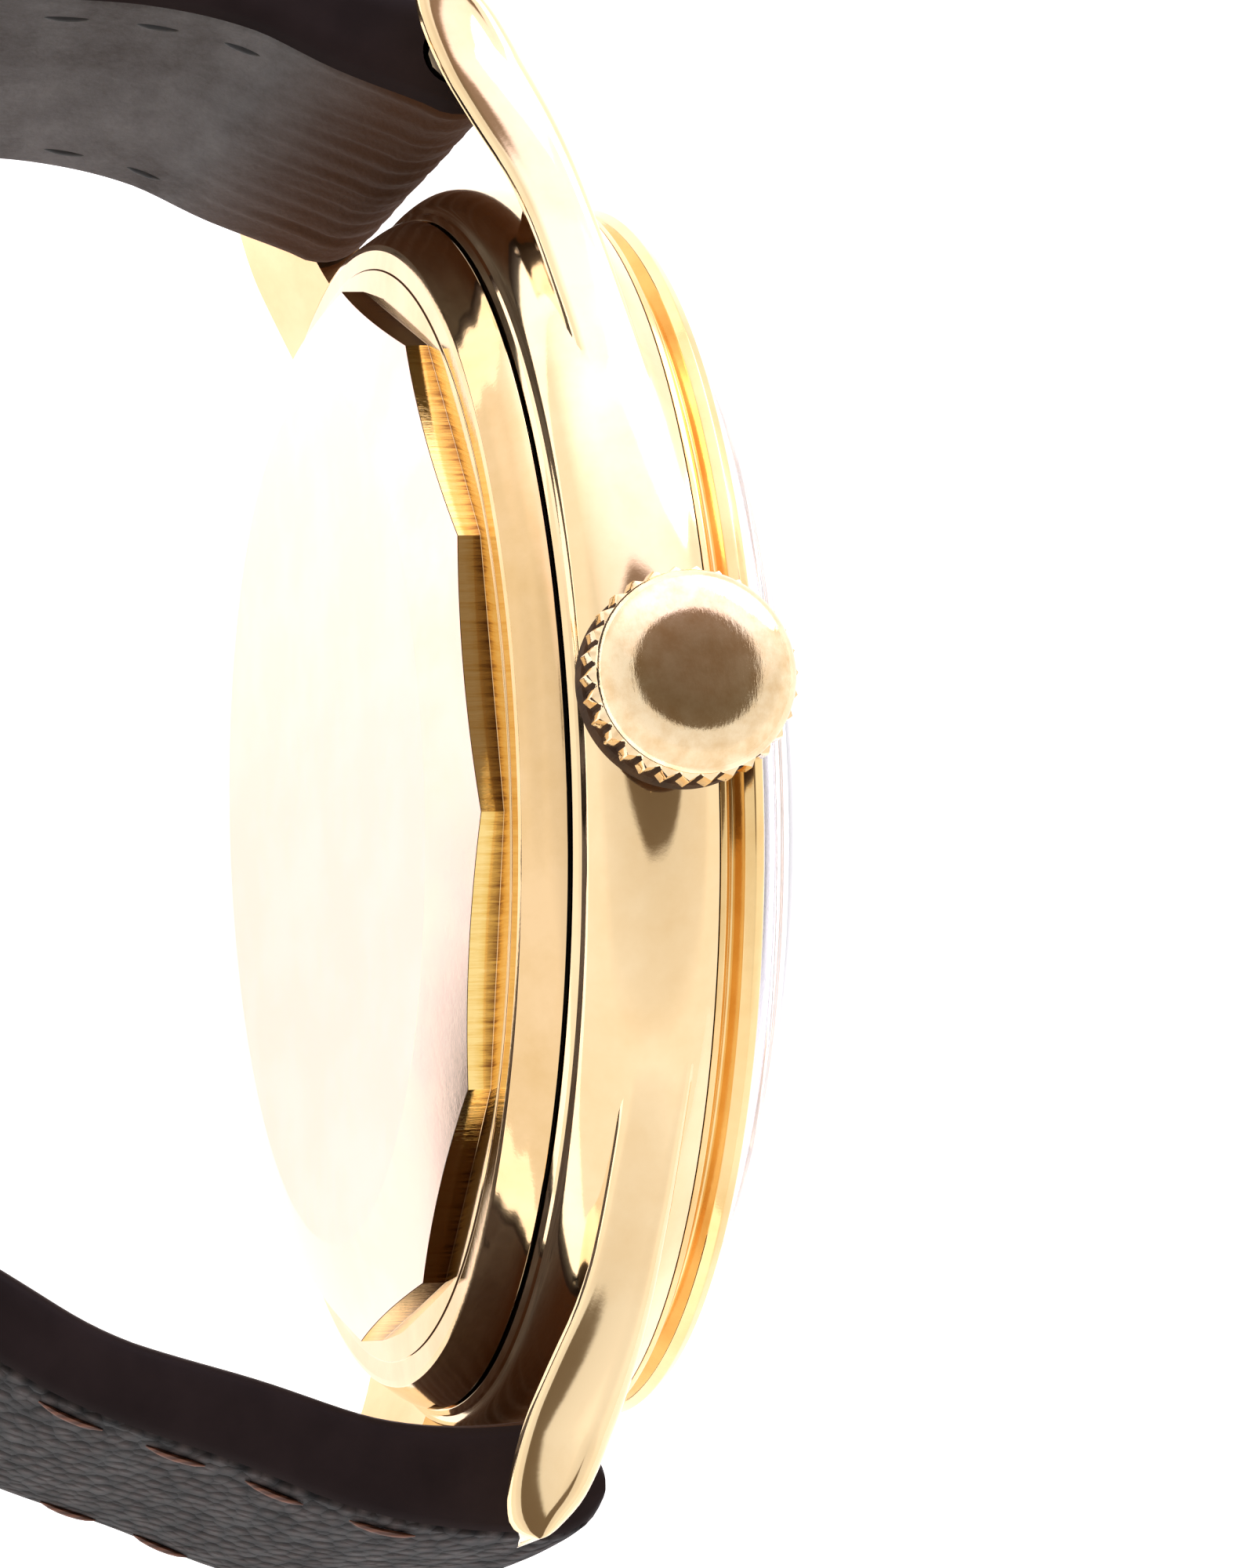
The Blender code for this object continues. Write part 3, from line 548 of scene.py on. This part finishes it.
def lug_section(reach):
    """The outline of a lug across its length: (outward, height) round a rounded four-sided shape."""
    low, high, line = on_line(LUG_BACK, reach), on_line(LUG_FRONT, reach), on_line(LUG_PLAN, reach)
    blend = min(max((reach - 10.0) / 9.0, 0.0), 1.0)     # 0 beside the flank, 1 at the free tip
    back_round = min(0.42, 0.3 * (high - low))
    front_round = min(0.3 + 0.5 * blend, 0.4 * (high - low))
    widest = 4.95 * (1 - blend) + (low + back_round) * blend
    bulge = 0.17

    def outer(height):
        return line - bulge * (height - widest) ** 2

    first, last = low + back_round, high - front_round
    inner_rise = min(0.42 * (line - LUG_INNER), 0.6 * (high - low))
    points = [(LUG_INNER, low + inner_rise)]
    points += arc_points((outer(first) - back_round, first), back_round, -75.0, -8.0)
    points += [(outer(first + (last - first) * k / 8), first + (last - first) * k / 8) for k in range(9)]
    points += arc_points((outer(last) - front_round, last), front_round, 8.0, 90.0)
    points.append((LUG_INNER, high))
    return points


def lug_shape(end, side):
    """One lug as a loft of its sections, closed at both ends, with more sections towards its tip."""
    long_run, bend, nose = 12.0, 3.3, 0.3
    reaches = [LUG_ROOT + long_run * k / 24 for k in range(24)]
    reaches += [LUG_ROOT + long_run + bend * k / 16 for k in range(16)]
    reaches += [LUG_TIP - nose * (1 - sin(pi / 2 * k / 6)) for k in range(6)]
    reaches.append(LUG_TIP - 0.003)
    return lofted([[watch_point(end * reach, side * out, height) for out, height in lug_section(reach)]
                   for reach in reaches], caps=True)


def mid_case():
    """The middle of the case, round and full, with four long lugs that flow out of its flank."""
    lip = [(16.45, FLANK_FOOT), (16.5, LIP_HEIGHT, 0.02), (16.83, LIP_HEIGHT, 0.03), (16.96, 2.95, 0.03)]
    top = [(17.3, FLANK_TOP, 0.0), (BORE_RADIUS, FLANK_TOP, 0.0), (BORE_RADIUS, FLANK_FOOT, 0.0)]
    profile = filleted(lip + smooth_part(FLANK) + top, 0.03, True)
    obj = mesh_object("mid_case_fine", turn_profile(profile, 240))
    for end in (-1, 1):
        for side in (-1, 1):
            boolean(obj, mesh_object("lug", lug_shape(end, side)), "UNION")
    # The bore's tool is a hair smaller than the turned bore, so it cuts only the roots of the lugs.
    along_watch = Matrix.Translation((0, -5 * MM, 0)) @ Matrix.Rotation(pi / 2, 4, "X")
    bore = cylinder(BORE_RADIUS - 0.004, length=8, matrix=along_watch, steps=240)
    boolean(obj, mesh_object("bore", bore), "DIFFERENCE")
    dress(obj, [CASE_GOLD], "case", ["mid_case"], 24.0)


def case_back():
    """The screw back: a flat disc, a sloping ring, the twelve flats, a shelf and a tapered skirt."""
    face = [(0.0, 0.0, 0.0), (12.05, 0.0, 0.25), (15.4, 1.03, 0.0), (15.4, RIM_FOOT + 0.05, 0.06),
            (15.95, RIM_FOOT + 0.08, 0.05), (16.12, 1.62, 0.04)]
    skirt = smooth_part([(16.15, 1.66), (16.30, 1.86), (16.47, 2.11), (16.62, 2.33), (16.74, 2.54),
                         (16.8, BACK_TOP)])
    inside = [(14.3, BACK_TOP, 0.0), (14.3, 3.8, 0.0), (13.6, 3.8, 0.0), (13.6, 2.2, 0.0), (11.8, 0.75, 0.0),
              (0.0, 0.75, 0.0)]
    profile = filleted(face + skirt + inside, 0.05, False, 5)
    obj = mesh_object("case_back_fine", turn_profile(profile, 360, closed=False))
    outside_rim = [(RIM_RADIUS, -1.0), (20.0, -1.0), (20.0, RIM_FOOT), (RIM_RADIUS, RIM_FOOT)]
    waste = mesh_object("rim_waste", turn_profile(outside_rim, BACK_SIDES))
    waste.data.transform(Matrix.Rotation(radians(-BACK_TURN), 4, "Y"))
    boolean(obj, waste, "DIFFERENCE")
    softened(obj, 0.05, 30.0)
    dress(obj, [BACK_GOLD, FLAT_GOLD, DISC_GOLD, PAINTED_SHADE], "case", ["case_back"], 24.0)
    finish_back_faces(obj.data.polygons)


def finish_back_faces(faces):
    """Picks the back's materials by where a face is and which way it looks: its +Y is out of the watch."""
    flats, disc, painted_line = 1, 2, 3
    for face in faces:
        height = -face.center.y / MM
        radius = hypot(face.center.x, face.center.z) / MM
        if abs(face.normal.y) < 0.05 and height < RIM_FOOT and radius < FLAT_RADIUS:
            face.material_index = flats
            face.use_smooth = False
        if face.normal.y > 0.9 and height < SLOPE_TOP:
            face.material_index = disc
            face.use_smooth = False
        # The bevel between the sloping ring and the flats is painted dark: a painted reflection, not tarnish.
        if 0.05 < face.normal.y < 0.9 and height < SLOPE_TOP and radius > REFLECTION_LINE_RADIUS:
            face.material_index = painted_line


def bezel():
    profile = [(15.5, 8.3, 0.05), (16.2, 8.27, 0.1), (16.95, 8.05, 0.15), (17.13, 7.78, 0.08),
               (17.02, 7.5, 0.1), (16.62, 7.3, 0.06), (16.62, 7.22, 0.06), (17.05, 7.06, 0.08),
               (17.32, 6.92, 0.08), (17.34, 6.75, 0.02), (15.5, 6.75, 0.0)]
    shape = turn_profile(filleted(profile, 0.05, True, 5), 240)
    make_piece("bezel_fine", shape, [BEZEL_GOLD], "case", ["bezel"], 50.0)


def crystal():
    dome = smooth_part([(0.0, 12.0), (3.0, 11.93), (6.0, 11.66), (9.0, 11.15), (11.5, 10.5), (13.4, 9.8),
                        (14.6, 9.2)])
    wall = [(15.02, 8.92, 0.3), (15.33, 8.5, 0.2), (15.35, 6.87, 0.0), (14.15, 6.87, 0.0), (14.05, 8.1, 0.2)]
    inside = smooth_part([(13.7, 8.6), (12.6, 9.35), (9.5, 10.15), (6.0, 10.62), (3.0, 10.85), (0.0, 10.9)])
    shape = turn_profile(filleted(dome + wall + inside, 0.1, False, 5), 200, closed=False)
    make_piece("crystal_fine", shape, [ACRYLIC], "case", ["crystal"], 60.0)


# ------------------------------------------------------------------ crown


def crown():
    """A domed cap over a ring of pointed teeth and a smooth foot, with a bore for the stem.

    Its rows are (radius, place along its axis, tooth): tooth is 1 on a full tooth, and 0 where the crown is
    round, as on the whole dome.
    """
    dome = smooth_part([(0.0, 21.52), (0.9, 21.49), (1.6, 21.39), (2.1, 21.22), (2.45, 21.0), (2.6, 20.86)])
    groove = [(2.64, 20.80, 0.0), (2.70, 20.72, 0.0), (2.71, 20.66, 0.0), (2.62, 20.60, 0.0),
              (2.60, 20.54, 0.0)]
    teeth = [(2.64, 20.50, 0.2), (2.70, TEETH_TOP, 0.85), (2.71, 20.30, 1.0), (2.71, 19.66, 1.0),
             (2.71, 19.50, 0.4)]
    foot = [(2.78, 19.44, 0.0), (2.78, 18.80, 0.0), (2.70, 18.62, 0.0), (2.55, 18.5, 0.0), (2.3, 18.36, 0.0)]
    bore = [(1.5, 18.22, 0.0), (0.55, 18.22, 0.0), (0.55, 19.75, 0.0), (0.0, 19.75, 0.0)]
    loops = []
    for radius, up, tooth in dome + groove + teeth + foot + bore:
        loop = []
        for i, angle in enumerate(round_angles(CROWN_TEETH * STEPS_PER_TOOTH)):
            phase = (i % STEPS_PER_TOOTH) / STEPS_PER_TOOTH
            point = 1 - abs(2 * phase - 1)
            r = radius + tooth * (TOOTH_RISE * point - TOOTH_DROP)
            loop.append(Vector((r * cos(angle), r * sin(angle) - STEM_HEIGHT, up)) * MM)
        loops.append(loop)
    shape = lofted(loops, merged=True)
    # The crown's foot and the valleys between its teeth take the dark material: painted shade.
    for face in shape.faces:
        middle = face.calc_center_median() / MM
        valley = middle.z < TEETH_TOP and hypot(middle.x, middle.y + STEM_HEIGHT) < VALLEY_RADIUS
        if valley or middle.z < SHADE_TOP:
            face.material_index = 1
    make_piece("crown_fine", shape, [CROWN_GOLD, PAINTED_SHADE], "crown", ["crown"], 28.0)


# ------------------------------------------------------------------ strap


def even_path(knots, spacing):
    """Evenly spaced points along the smooth curve through the knots, and its length."""
    dense = spline(knots, 20)
    runs = [0.0]
    for a, b in zip(dense, dense[1:]):
        runs.append(runs[-1] + (b - a).length)
    count = round(runs[-1] / spacing)
    points = []
    for i in range(count + 1):
        run = runs[-1] * i / count
        k = min(bisect_right(runs, run), len(runs) - 1)
        t = (run - runs[k - 1]) / (runs[k] - runs[k - 1])
        points.append(dense[k - 1].lerp(dense[k], t))
    return points, runs[-1]


class StrapPath:
    """A strap half's middle line, with its outward side, thickness and width along its run."""

    def __init__(self, end, knots, pointed):
        self.end, self.pointed = end, pointed
        self.points, self.length = even_path(knots, 0.5)
        self.step = self.length / (len(self.points) - 1)

    def at(self, run):
        """The point, the direction along the strap and the outward side, in the reach-height plane."""
        place = min(max(run / self.step, 0.0), len(self.points) - 1.001)
        i = int(place)
        point = self.points[i].lerp(self.points[i + 1], place - i)
        a, b = self.points[max(i - 1, 0)], self.points[min(i + 2, len(self.points) - 1)]
        along = (b - a).normalized()
        if run < 0:
            point = self.points[0] + along * run
        if run > self.length:
            point = self.points[-1] + along * (run - self.length)
        return point, along, Vector((-along.y, along.x))

    def thickness(self, run):
        if run >= FOLD_RUN:
            return STRAP_THICKNESS
        return FOLD_THICKNESS - (FOLD_THICKNESS - STRAP_THICKNESS) * (max(run, 0.0) / FOLD_RUN) ** 0.6

    def half_thickness(self, run):
        """Half the thickness, rounded off beyond both ends of the middle line."""
        if run < 0:
            return max(NOSE_RADIUS * sqrt(max(1 - (run / NOSE_RADIUS) ** 2, 0.0)), 0.18)
        if run > self.length:
            return max(TAIL_RADIUS * sqrt(max(1 - ((run - self.length) / TAIL_RADIUS) ** 2, 0.0)), 0.2)
        return self.thickness(run) / 2

    def width(self, run):
        width = STRAP_WIDTH - (STRAP_WIDTH - STRAP_END_WIDTH) * min(max(run, 0.0) / WIDTH_RUN, 1.0)
        left = self.length - run
        if self.pointed and left < POINT_RUN:
            width *= 0.3 + 0.7 * (max(left, 0.0) / POINT_RUN) ** 0.6
        return width

    def world(self, point, outward, lift, sideways):
        """A point lifted off the middle line, and moved sideways towards the crown."""
        spot = point + outward * lift
        return Vector((self.end * spot.x, -spot.y, sideways)) * MM

    def frame_at(self, run):
        """X along the strap, Y outward, Z towards the crown, at a point of its middle line."""
        point, along, outward = self.at(run)
        x = Vector((self.end * along.x, -along.y, 0.0))
        y = Vector((self.end * outward.x, -outward.y, 0.0))
        turn = Matrix((x, y, x.cross(y))).transposed().to_4x4()
        return Matrix.Translation(self.world(point, outward, 0.0, 0.0)) @ turn


def crease(sideways, run):
    """An uneven row of pleats across the strap, which wander a little along it."""
    wander = 0.7 * sin(run * 0.9 + 1.0)
    broad = sin(sideways * 4.3 + wander) * (0.7 + 0.3 * sin(sideways * 0.9))
    return broad + 0.6 * sin(sideways * 7.1 + 2.0 - wander) * cos(sideways * 0.6 + 0.5) - 0.6


def strap_section(half, width):
    """(sideways, lift, material) round the strap: outer face, edge, lining, edge."""
    soft = min(EDGE_ROUND, half * 0.6)
    fall = FACE_CROWN * half
    shoulder = half - fall
    across = [-1 + 2 * k / 72 for k in range(73)]

    def corner(side, face):
        """A rounded corner, from a face to the edge. Its first two points have the face's material."""
        points = []
        for k in range(1, 6):
            a = pi / 2 * k / 6
            inward, drop = soft * (1 - sin(a)), soft * (1 - cos(a))
            lift = shoulder - drop if face == STRAP_FACE else drop - half
            points.append((side * (width / 2 - inward), lift, face if k < 3 else STRAP_EDGE))
        return points

    def edge(side):
        """The edge, from the outer face to the lining."""
        return [(side * width / 2, (shoulder - soft) * (1 - 2 * t) - 0.1 * t, STRAP_EDGE)
                for t in (0.2, 0.4, 0.6, 0.8)]

    points = [(t * (width / 2 - soft), half - fall * t ** 4, STRAP_FACE) for t in across]
    points += corner(1, STRAP_FACE) + edge(1) + corner(1, STRAP_LINING)[::-1]
    points += [(-t * (width / 2 - soft), -half, STRAP_LINING) for t in across]
    points += corner(-1, STRAP_LINING) + edge(-1)[::-1] + corner(-1, STRAP_FACE)[::-1]
    return points


def strap_half(name, path):
    """One leather half, folded round its spring bar at the case."""
    runs = [-NOSE_REACH * sin(pi / 2 * k / 8) for k in range(8, 0, -1)]
    runs += [0.5 * i for i in range(int(path.length / 0.5) + 1)]
    runs += [path.length + TAIL_REACH * sin(pi / 2 * k / 5) for k in range(6)]
    loops = []
    for run in runs:
        fold = CREASE_DEPTH * max(1.0 - max(run, 0.0) / CREASE_REACH, 0.0)
        point, _, outward = path.at(run)
        loop = []
        for sideways, lift, paint in strap_section(path.half_thickness(run), path.width(run)):
            if paint == STRAP_LINING:
                lift += fold * crease(sideways, run)
            loop.append(path.world(point, outward, lift, sideways))
        loops.append(loop)
    shape = bmesh.new()
    faces = skin(shape, loops, caps=True)
    paints = [paint for _, _, paint in strap_section(1.0, STRAP_WIDTH)]
    for number, face in enumerate(faces[:-2]):
        face.material_index = paints[number % len(paints)]
    for end_face in faces[-2:]:
        end_face.material_index = STRAP_EDGE
    face_outwards(shape)
    return mesh_object(name, shape)


def cut(obj, tool):
    boolean(obj, mesh_object("hole", tool), "DIFFERENCE")


def bar_hole(obj, reach, height, radius):
    cut(obj, cylinder(radius, length=24, matrix=Matrix.Translation((reach * MM, -height * MM, 0))))


def tongue_notch(obj, path):
    """The slot at the buckle's bar, through which the tongue comes."""
    low, high = Vector((-3.2, -3.0, -1.7)) * MM, Vector((4.0, 3.0, 1.7)) * MM
    shape = bmesh.new()
    bmesh.ops.create_cube(shape, size=1.0)
    bmesh.ops.scale(shape, vec=high - low, verts=shape.verts)
    bmesh.ops.translate(shape, vec=(low + high) / 2, verts=shape.verts)
    shape.transform(path.frame_at(path.length))
    cut(obj, shape)


def punch_holes(obj, path):
    for number in range(HOLES):
        shape = cylinder(PUNCHED_HOLE, length=8, matrix=Matrix.Rotation(pi / 2, 4, "X"))
        shape.transform(path.frame_at(path.length - FIRST_HOLE - HOLE_PITCH * number))
        cut(obj, shape)


def stitches(name, path, face_side, paint, body, first, last, inset, pitch, length, radius):
    """A row of short sunk stitches along both edges of one face: 1 for the outer face, -1 for the lining."""
    shape = bmesh.new()
    run = first
    while run < last:
        for side in (-1, 1):
            loops = []
            for k in range(7):
                t = -1 + 2 * k / 6
                here = run + length / 2 * t
                point, _, outward = path.at(here)
                swell = sqrt(max(1 - (0.97 * t) ** 2, 0.02))
                base = face_side * (path.thickness(here) / 2 - 0.02 - 0.06 * t * t)
                middle = side * (path.width(here) / 2 - inset)
                loops.append([path.world(point, outward, base + radius * 0.7 * swell * sin(a),
                                         middle + radius * swell * cos(a)) for a in round_angles(8)])
            skin(shape, loops, caps=True)
        run += pitch
    face_outwards(shape)
    make_piece(name, shape, [paint], body, [], 60.0)


def strap(short, long):
    leather = [GRAIN, EDGE, LINING]
    obj = strap_half("strap_12_fine", short)
    bar_hole(obj, -BAR_REACH, BAR_HEIGHT, SPRING_BAR_HOLE)
    bar_hole(obj, *BUCKLE_BAR, BUCKLE_BAR_HOLE)
    tongue_notch(obj, short)
    dress(obj, leather, "strap_twelve", ["strap_12"], 40.0)
    obj = strap_half("strap_6_fine", long)
    bar_hole(obj, BAR_REACH, BAR_HEIGHT, SPRING_BAR_HOLE)
    punch_holes(obj, long)
    dress(obj, leather, "strap_six", ["strap_6"], 40.0)
    for path, tag, body, margin in ((short, "12", "strap_twelve", 9.0), (long, "6", "strap_six", 15.0)):
        last = path.length - margin
        stitches(f"outer_stitches_{tag}", path, 1, BROWN_THREAD, body, 4.0, last,
                 inset=1.15, pitch=2.9, length=1.7, radius=0.14)
        stitches(f"lining_stitches_{tag}", path, -1, BLACK_THREAD, body, 5.5, last,
                 inset=1.9, pitch=2.7, length=1.6, radius=0.17)


# ------------------------------------------------------------------ buckle and keepers


def squared(value, power):
    """A sine or cosine bent so that a round section becomes a rounded square one."""
    return abs(value) ** power * (1 if value >= 0 else -1)


def buckle_frame(at_end):
    """A three-sided bar of rounded section, in the X-Z plane of the buckle's bar."""
    across, thick = 0.85, 0.92
    corners = filleted([(-1.3, -9.5), (12.3, -9.5, 2.2), (12.3, 9.5, 2.2), (-1.3, 9.5)], 1.0, False, 10)
    loops = []
    for i, corner in enumerate(corners):
        before, after = corners[max(i - 1, 0)], corners[min(i + 1, len(corners) - 1)]
        along = (after - before).normalized()
        loop = []
        for a in round_angles(16):
            u, v = across * squared(cos(a), 0.7), thick * squared(sin(a), 0.7)
            loop.append(at_end @ (Vector((corner.x - along.y * u, v, corner.y + along.x * u)) * MM))
        loops.append(loop)
    make_piece("buckle_frame_fine", lofted(loops, caps=True), [BUCKLE_GOLD], "buckle", ["buckle_frame"],
               45.0)


def buckle_tongue(at_end):
    """A tapering bent pin, rounded at its tip, with an eye round the buckle's bar."""
    start, length, tip = 1.3, 12.1, 0.95
    shape = bmesh.new()
    loops = []
    for k in range(41):
        t = k / 40
        lift = 1.1 + 0.45 * sin(pi * min(t * 1.4, 1.0)) - 0.05 * t
        wide = 1.0 * (1 - 0.35 * t)
        thick = 0.42 * (1 - 0.3 * t)
        if t > tip:
            rounding = sqrt(max(1 - ((t - tip) / 0.052) ** 2, 0.02))
            wide *= rounding
            thick *= rounding
        loops.append([at_end @ (Vector((start + length * t, lift + thick * sin(a), wide * cos(a))) * MM)
                      for a in round_angles(16)])
    skin(shape, loops, caps=True)
    outer, inner, half = 1.35, 0.74, 1.0
    eye = filleted([(inner, -half, 0.05), (outer, -half, 0.2), (outer, half, 0.2), (inner, half, 0.05)],
                   0.1, True)
    skin(shape, [[at_end @ (Vector((p.x * cos(a), p.x * sin(a), p.y)) * MM) for a in round_angles(32)]
                 for p in eye], closed_ring=True)
    face_outwards(shape)
    make_piece("buckle_tongue_fine", shape, [BUCKLE_GOLD], "tongue", ["buckle_tongue"], 45.0)


def keeper(name, path, steps_back, body, stands_for):
    """A leather loop round the strap, with room for the long half's end above it."""
    step = path.length / round(path.length / KEEPER_SPACING)
    matrix = path.frame_at(path.length - steps_back * step)
    side, low, high, corner = 9.3, -2.1, 5.15, 1.2
    outline = filleted([(-side, low), (side, low), (side, high), (-side, high)], corner, True, 8)
    loops = []
    for i, p in enumerate(outline):
        along = (outline[(i + 1) % len(outline)] - outline[i - 1]).normalized()
        loop = []
        for a in round_angles(20):
            wide, thick = 2.4 * squared(sin(a), 0.25), 0.38 * squared(cos(a), 0.5)
            loop.append(matrix @ (Vector((wide, p.y - along.x * thick, p.x + along.y * thick)) * MM))
        loops.append(loop)
    make_piece(name, lofted(loops, closed_ring=True), [GRAIN], body, stands_for, 50.0)


# ------------------------------------------------------------------ dial detail and the CAD nodes that stay


def minute_track():
    """Sixty raised marks round the dial, less every fifth, which is left to its baton."""
    place, size = Vector((12.9, -6.64, 0.0)) * MM, Vector((0.6, 0.04, 0.12)) * MM
    mark = Matrix.Translation(place) @ Matrix.Diagonal((*size, 1.0))
    shape = bmesh.new()
    for minute in range(60):
        if minute % 5:
            turn = Matrix.Rotation(2 * pi * minute / 60, 4, "Y")
            bmesh.ops.create_cube(shape, size=1.0, matrix=turn @ mark)
    make_piece("minute_track", shape, [BLACK_THREAD], "case", [])


def carried_over():
    """Materials for the CAD nodes that stay as they are."""
    finishes = {"gilt": GILT, "brass": BRASS, "steel": STEEL, "rubber": RUBBER, "dial_paint": DIAL,
                "gold": CASE_GOLD}
    for part in frame["record"]["subparts"]:
        paint = finishes.get(part["material_slot"])
        obj = frame["nodes"][part["node"]]
        if paint is not None and obj.type == "MESH":
            for slot in obj.material_slots:
                slot.material = paint


# ------------------------------------------------------------------ camera, floor and light


def camera():
    """The photograph's view: above the crown, leaning towards the case back and twelve o'clock."""
    lean_back, lean_twelve, roll = radians(15.56), radians(9.88), radians(-0.97)
    distance, shift_right, shift_up = 232.25, 5.92, 0.88
    seam_height = 2.79          # the camera's place is counted from the middle of the case's seam
    towards = Vector((-sin(lean_twelve), cos(lean_twelve) * sin(lean_back),
                      cos(lean_twelve) * cos(lean_back)))
    dial_way = Vector((0.0, -1.0, 0.0))
    six_way = Vector((1.0, 0.0, 0.0))
    right = (dial_way - dial_way.dot(towards) * towards).normalized()
    up = (six_way - six_way.dot(towards) * towards - six_way.dot(right) * right).normalized()
    turned_right = right * cos(roll) + up * sin(roll)
    turned_up = up * cos(roll) - right * sin(roll)
    seam = Vector((0.0, -seam_height, 0.0))
    place = (seam + towards * distance + turned_right * shift_right + turned_up * shift_up) * MM
    data = bpy.data.cameras.new("camera")
    data.lens = 188.3
    data.sensor_width = 36.0
    data.clip_start = 0.01
    obj = bpy.data.objects.new("camera", data)
    turn = Matrix((turned_right, turned_up, towards)).transposed().to_4x4()
    obj.matrix_world = Matrix.Translation(place) @ turn
    bpy.context.scene.collection.objects.link(obj)
    bpy.context.scene.camera = obj


def floor(height):
    """A pale floor that glows as painted light, which washes out the watch's shadows on it: its glow is
    strongest on the case-back side, under the camera.
    """
    half_size = 1.5
    dim_side, bright_side = -0.06, 0.03
    shape = bmesh.new()
    bmesh.ops.create_grid(shape, x_segments=1, y_segments=1, size=half_size)
    bmesh.ops.translate(shape, vec=(0, 0, height), verts=shape.verts)
    obj = mesh_object("floor", shape)
    # The floor's emission is painted light: it keeps the floor white where the watch shades it.
    finish = Finish("painted_glow_floor", Base_Color=(0.92, 0.92, 0.93, 1.0), Roughness=0.9, Emission_Strength=1.0)
    across = finish.ranged(finish.coordinate("Y"), 0.0, 1.0, dim_side, bright_side)
    finish.set(Emission_Color=finish.ramp(across, [(0.0, (DIM_GLOW,) * 3), (1.0, (BRIGHT_GLOW,) * 3)]))
    obj.data.materials.append(finish.material)


def tent():
    """A white light tent with a dark mouth above the crown and a brighter panel beyond six o'clock."""
    world = bpy.data.worlds.new("tent")
    bpy.context.scene.world = world
    world.use_nodes = True
    tree = Tree(world.node_tree)
    background = tree.tree.nodes["Background"]
    where = tree.add("TexCoord").outputs["Generated"]
    offset = tree.add("VectorMath", where, TENT_MOUTH, operation="SUBTRACT").outputs["Vector"]
    shaped = tree.add("VectorMath", offset, MOUTH_SHAPE, operation="MULTIPLY").outputs["Vector"]
    away = tree.add("VectorMath", shaped, operation="LENGTH").outputs["Value"]
    wall = tree.ramp(away, [(0.0, (0.13, 0.10, 0.073)), (0.42, (0.165, 0.132, 0.098)),
                            (0.47, (0.76, 0.755, 0.75)), (0.85, (0.84, 0.835, 0.83)),
                            (1.0, (0.95, 0.945, 0.94))])
    from_panel = tree.add("VectorMath", where, TENT_PANEL, operation="DISTANCE").outputs["Value"]
    panel = tree.ranged(from_panel, 0.0, 1.0, 0.95, 0.35)
    tint = tree.ramp(panel, [(0.0, (1.0, 1.0, 1.0)), (1.0, (0.86, 0.79, 1.0))])
    tinted = tree.add("VectorMath", wall, tint, operation="MULTIPLY").outputs["Vector"]
    tree.feed(background.inputs["Color"], tinted)
    tree.feed(background.inputs["Strength"], tree.ranged(panel, 1.25, 2.6))


def area_light(name, place, target, size, power):
    data = bpy.data.lights.new(name, "AREA")
    data.shape = "DISK"
    data.size = size
    data.energy = power
    obj = bpy.data.objects.new(name, data)
    obj.location = place
    obj.rotation_euler = (Vector(target) - Vector(place)).to_track_quat("-Z", "Y").to_euler()
    bpy.context.scene.collection.objects.link(obj)


# ------------------------------------------------------------------ the scene

carried_over()
mid_case()
case_back()
bezel()
crystal()
crown()
short_path = StrapPath(-1, TWELVE_LINE, False)
long_path = StrapPath(1, SIX_LINE, True)
strap(short_path, long_path)
buckle_place = short_path.frame_at(short_path.length)
buckle_frame(buckle_place)
buckle_tongue(buckle_place)
keeper("keeper_fixed_fine", short_path, FIXED_KEEPER_STEPS, "strap_twelve", ["keeper_fixed"])
keeper("keeper_sliding_fine", short_path, SLIDING_KEEPER_STEPS, "keeper", ["keeper_sliding"])
minute_track()
camera()
floor(cad_bounds[0].z - FLOOR_GAP * MM)
tent()
area_light("window", place=(0.42, -0.34, 0.06), target=(0, 0, 0), size=0.45, power=1.6)
bpy.context.scene.view_settings.view_transform = "Standard"
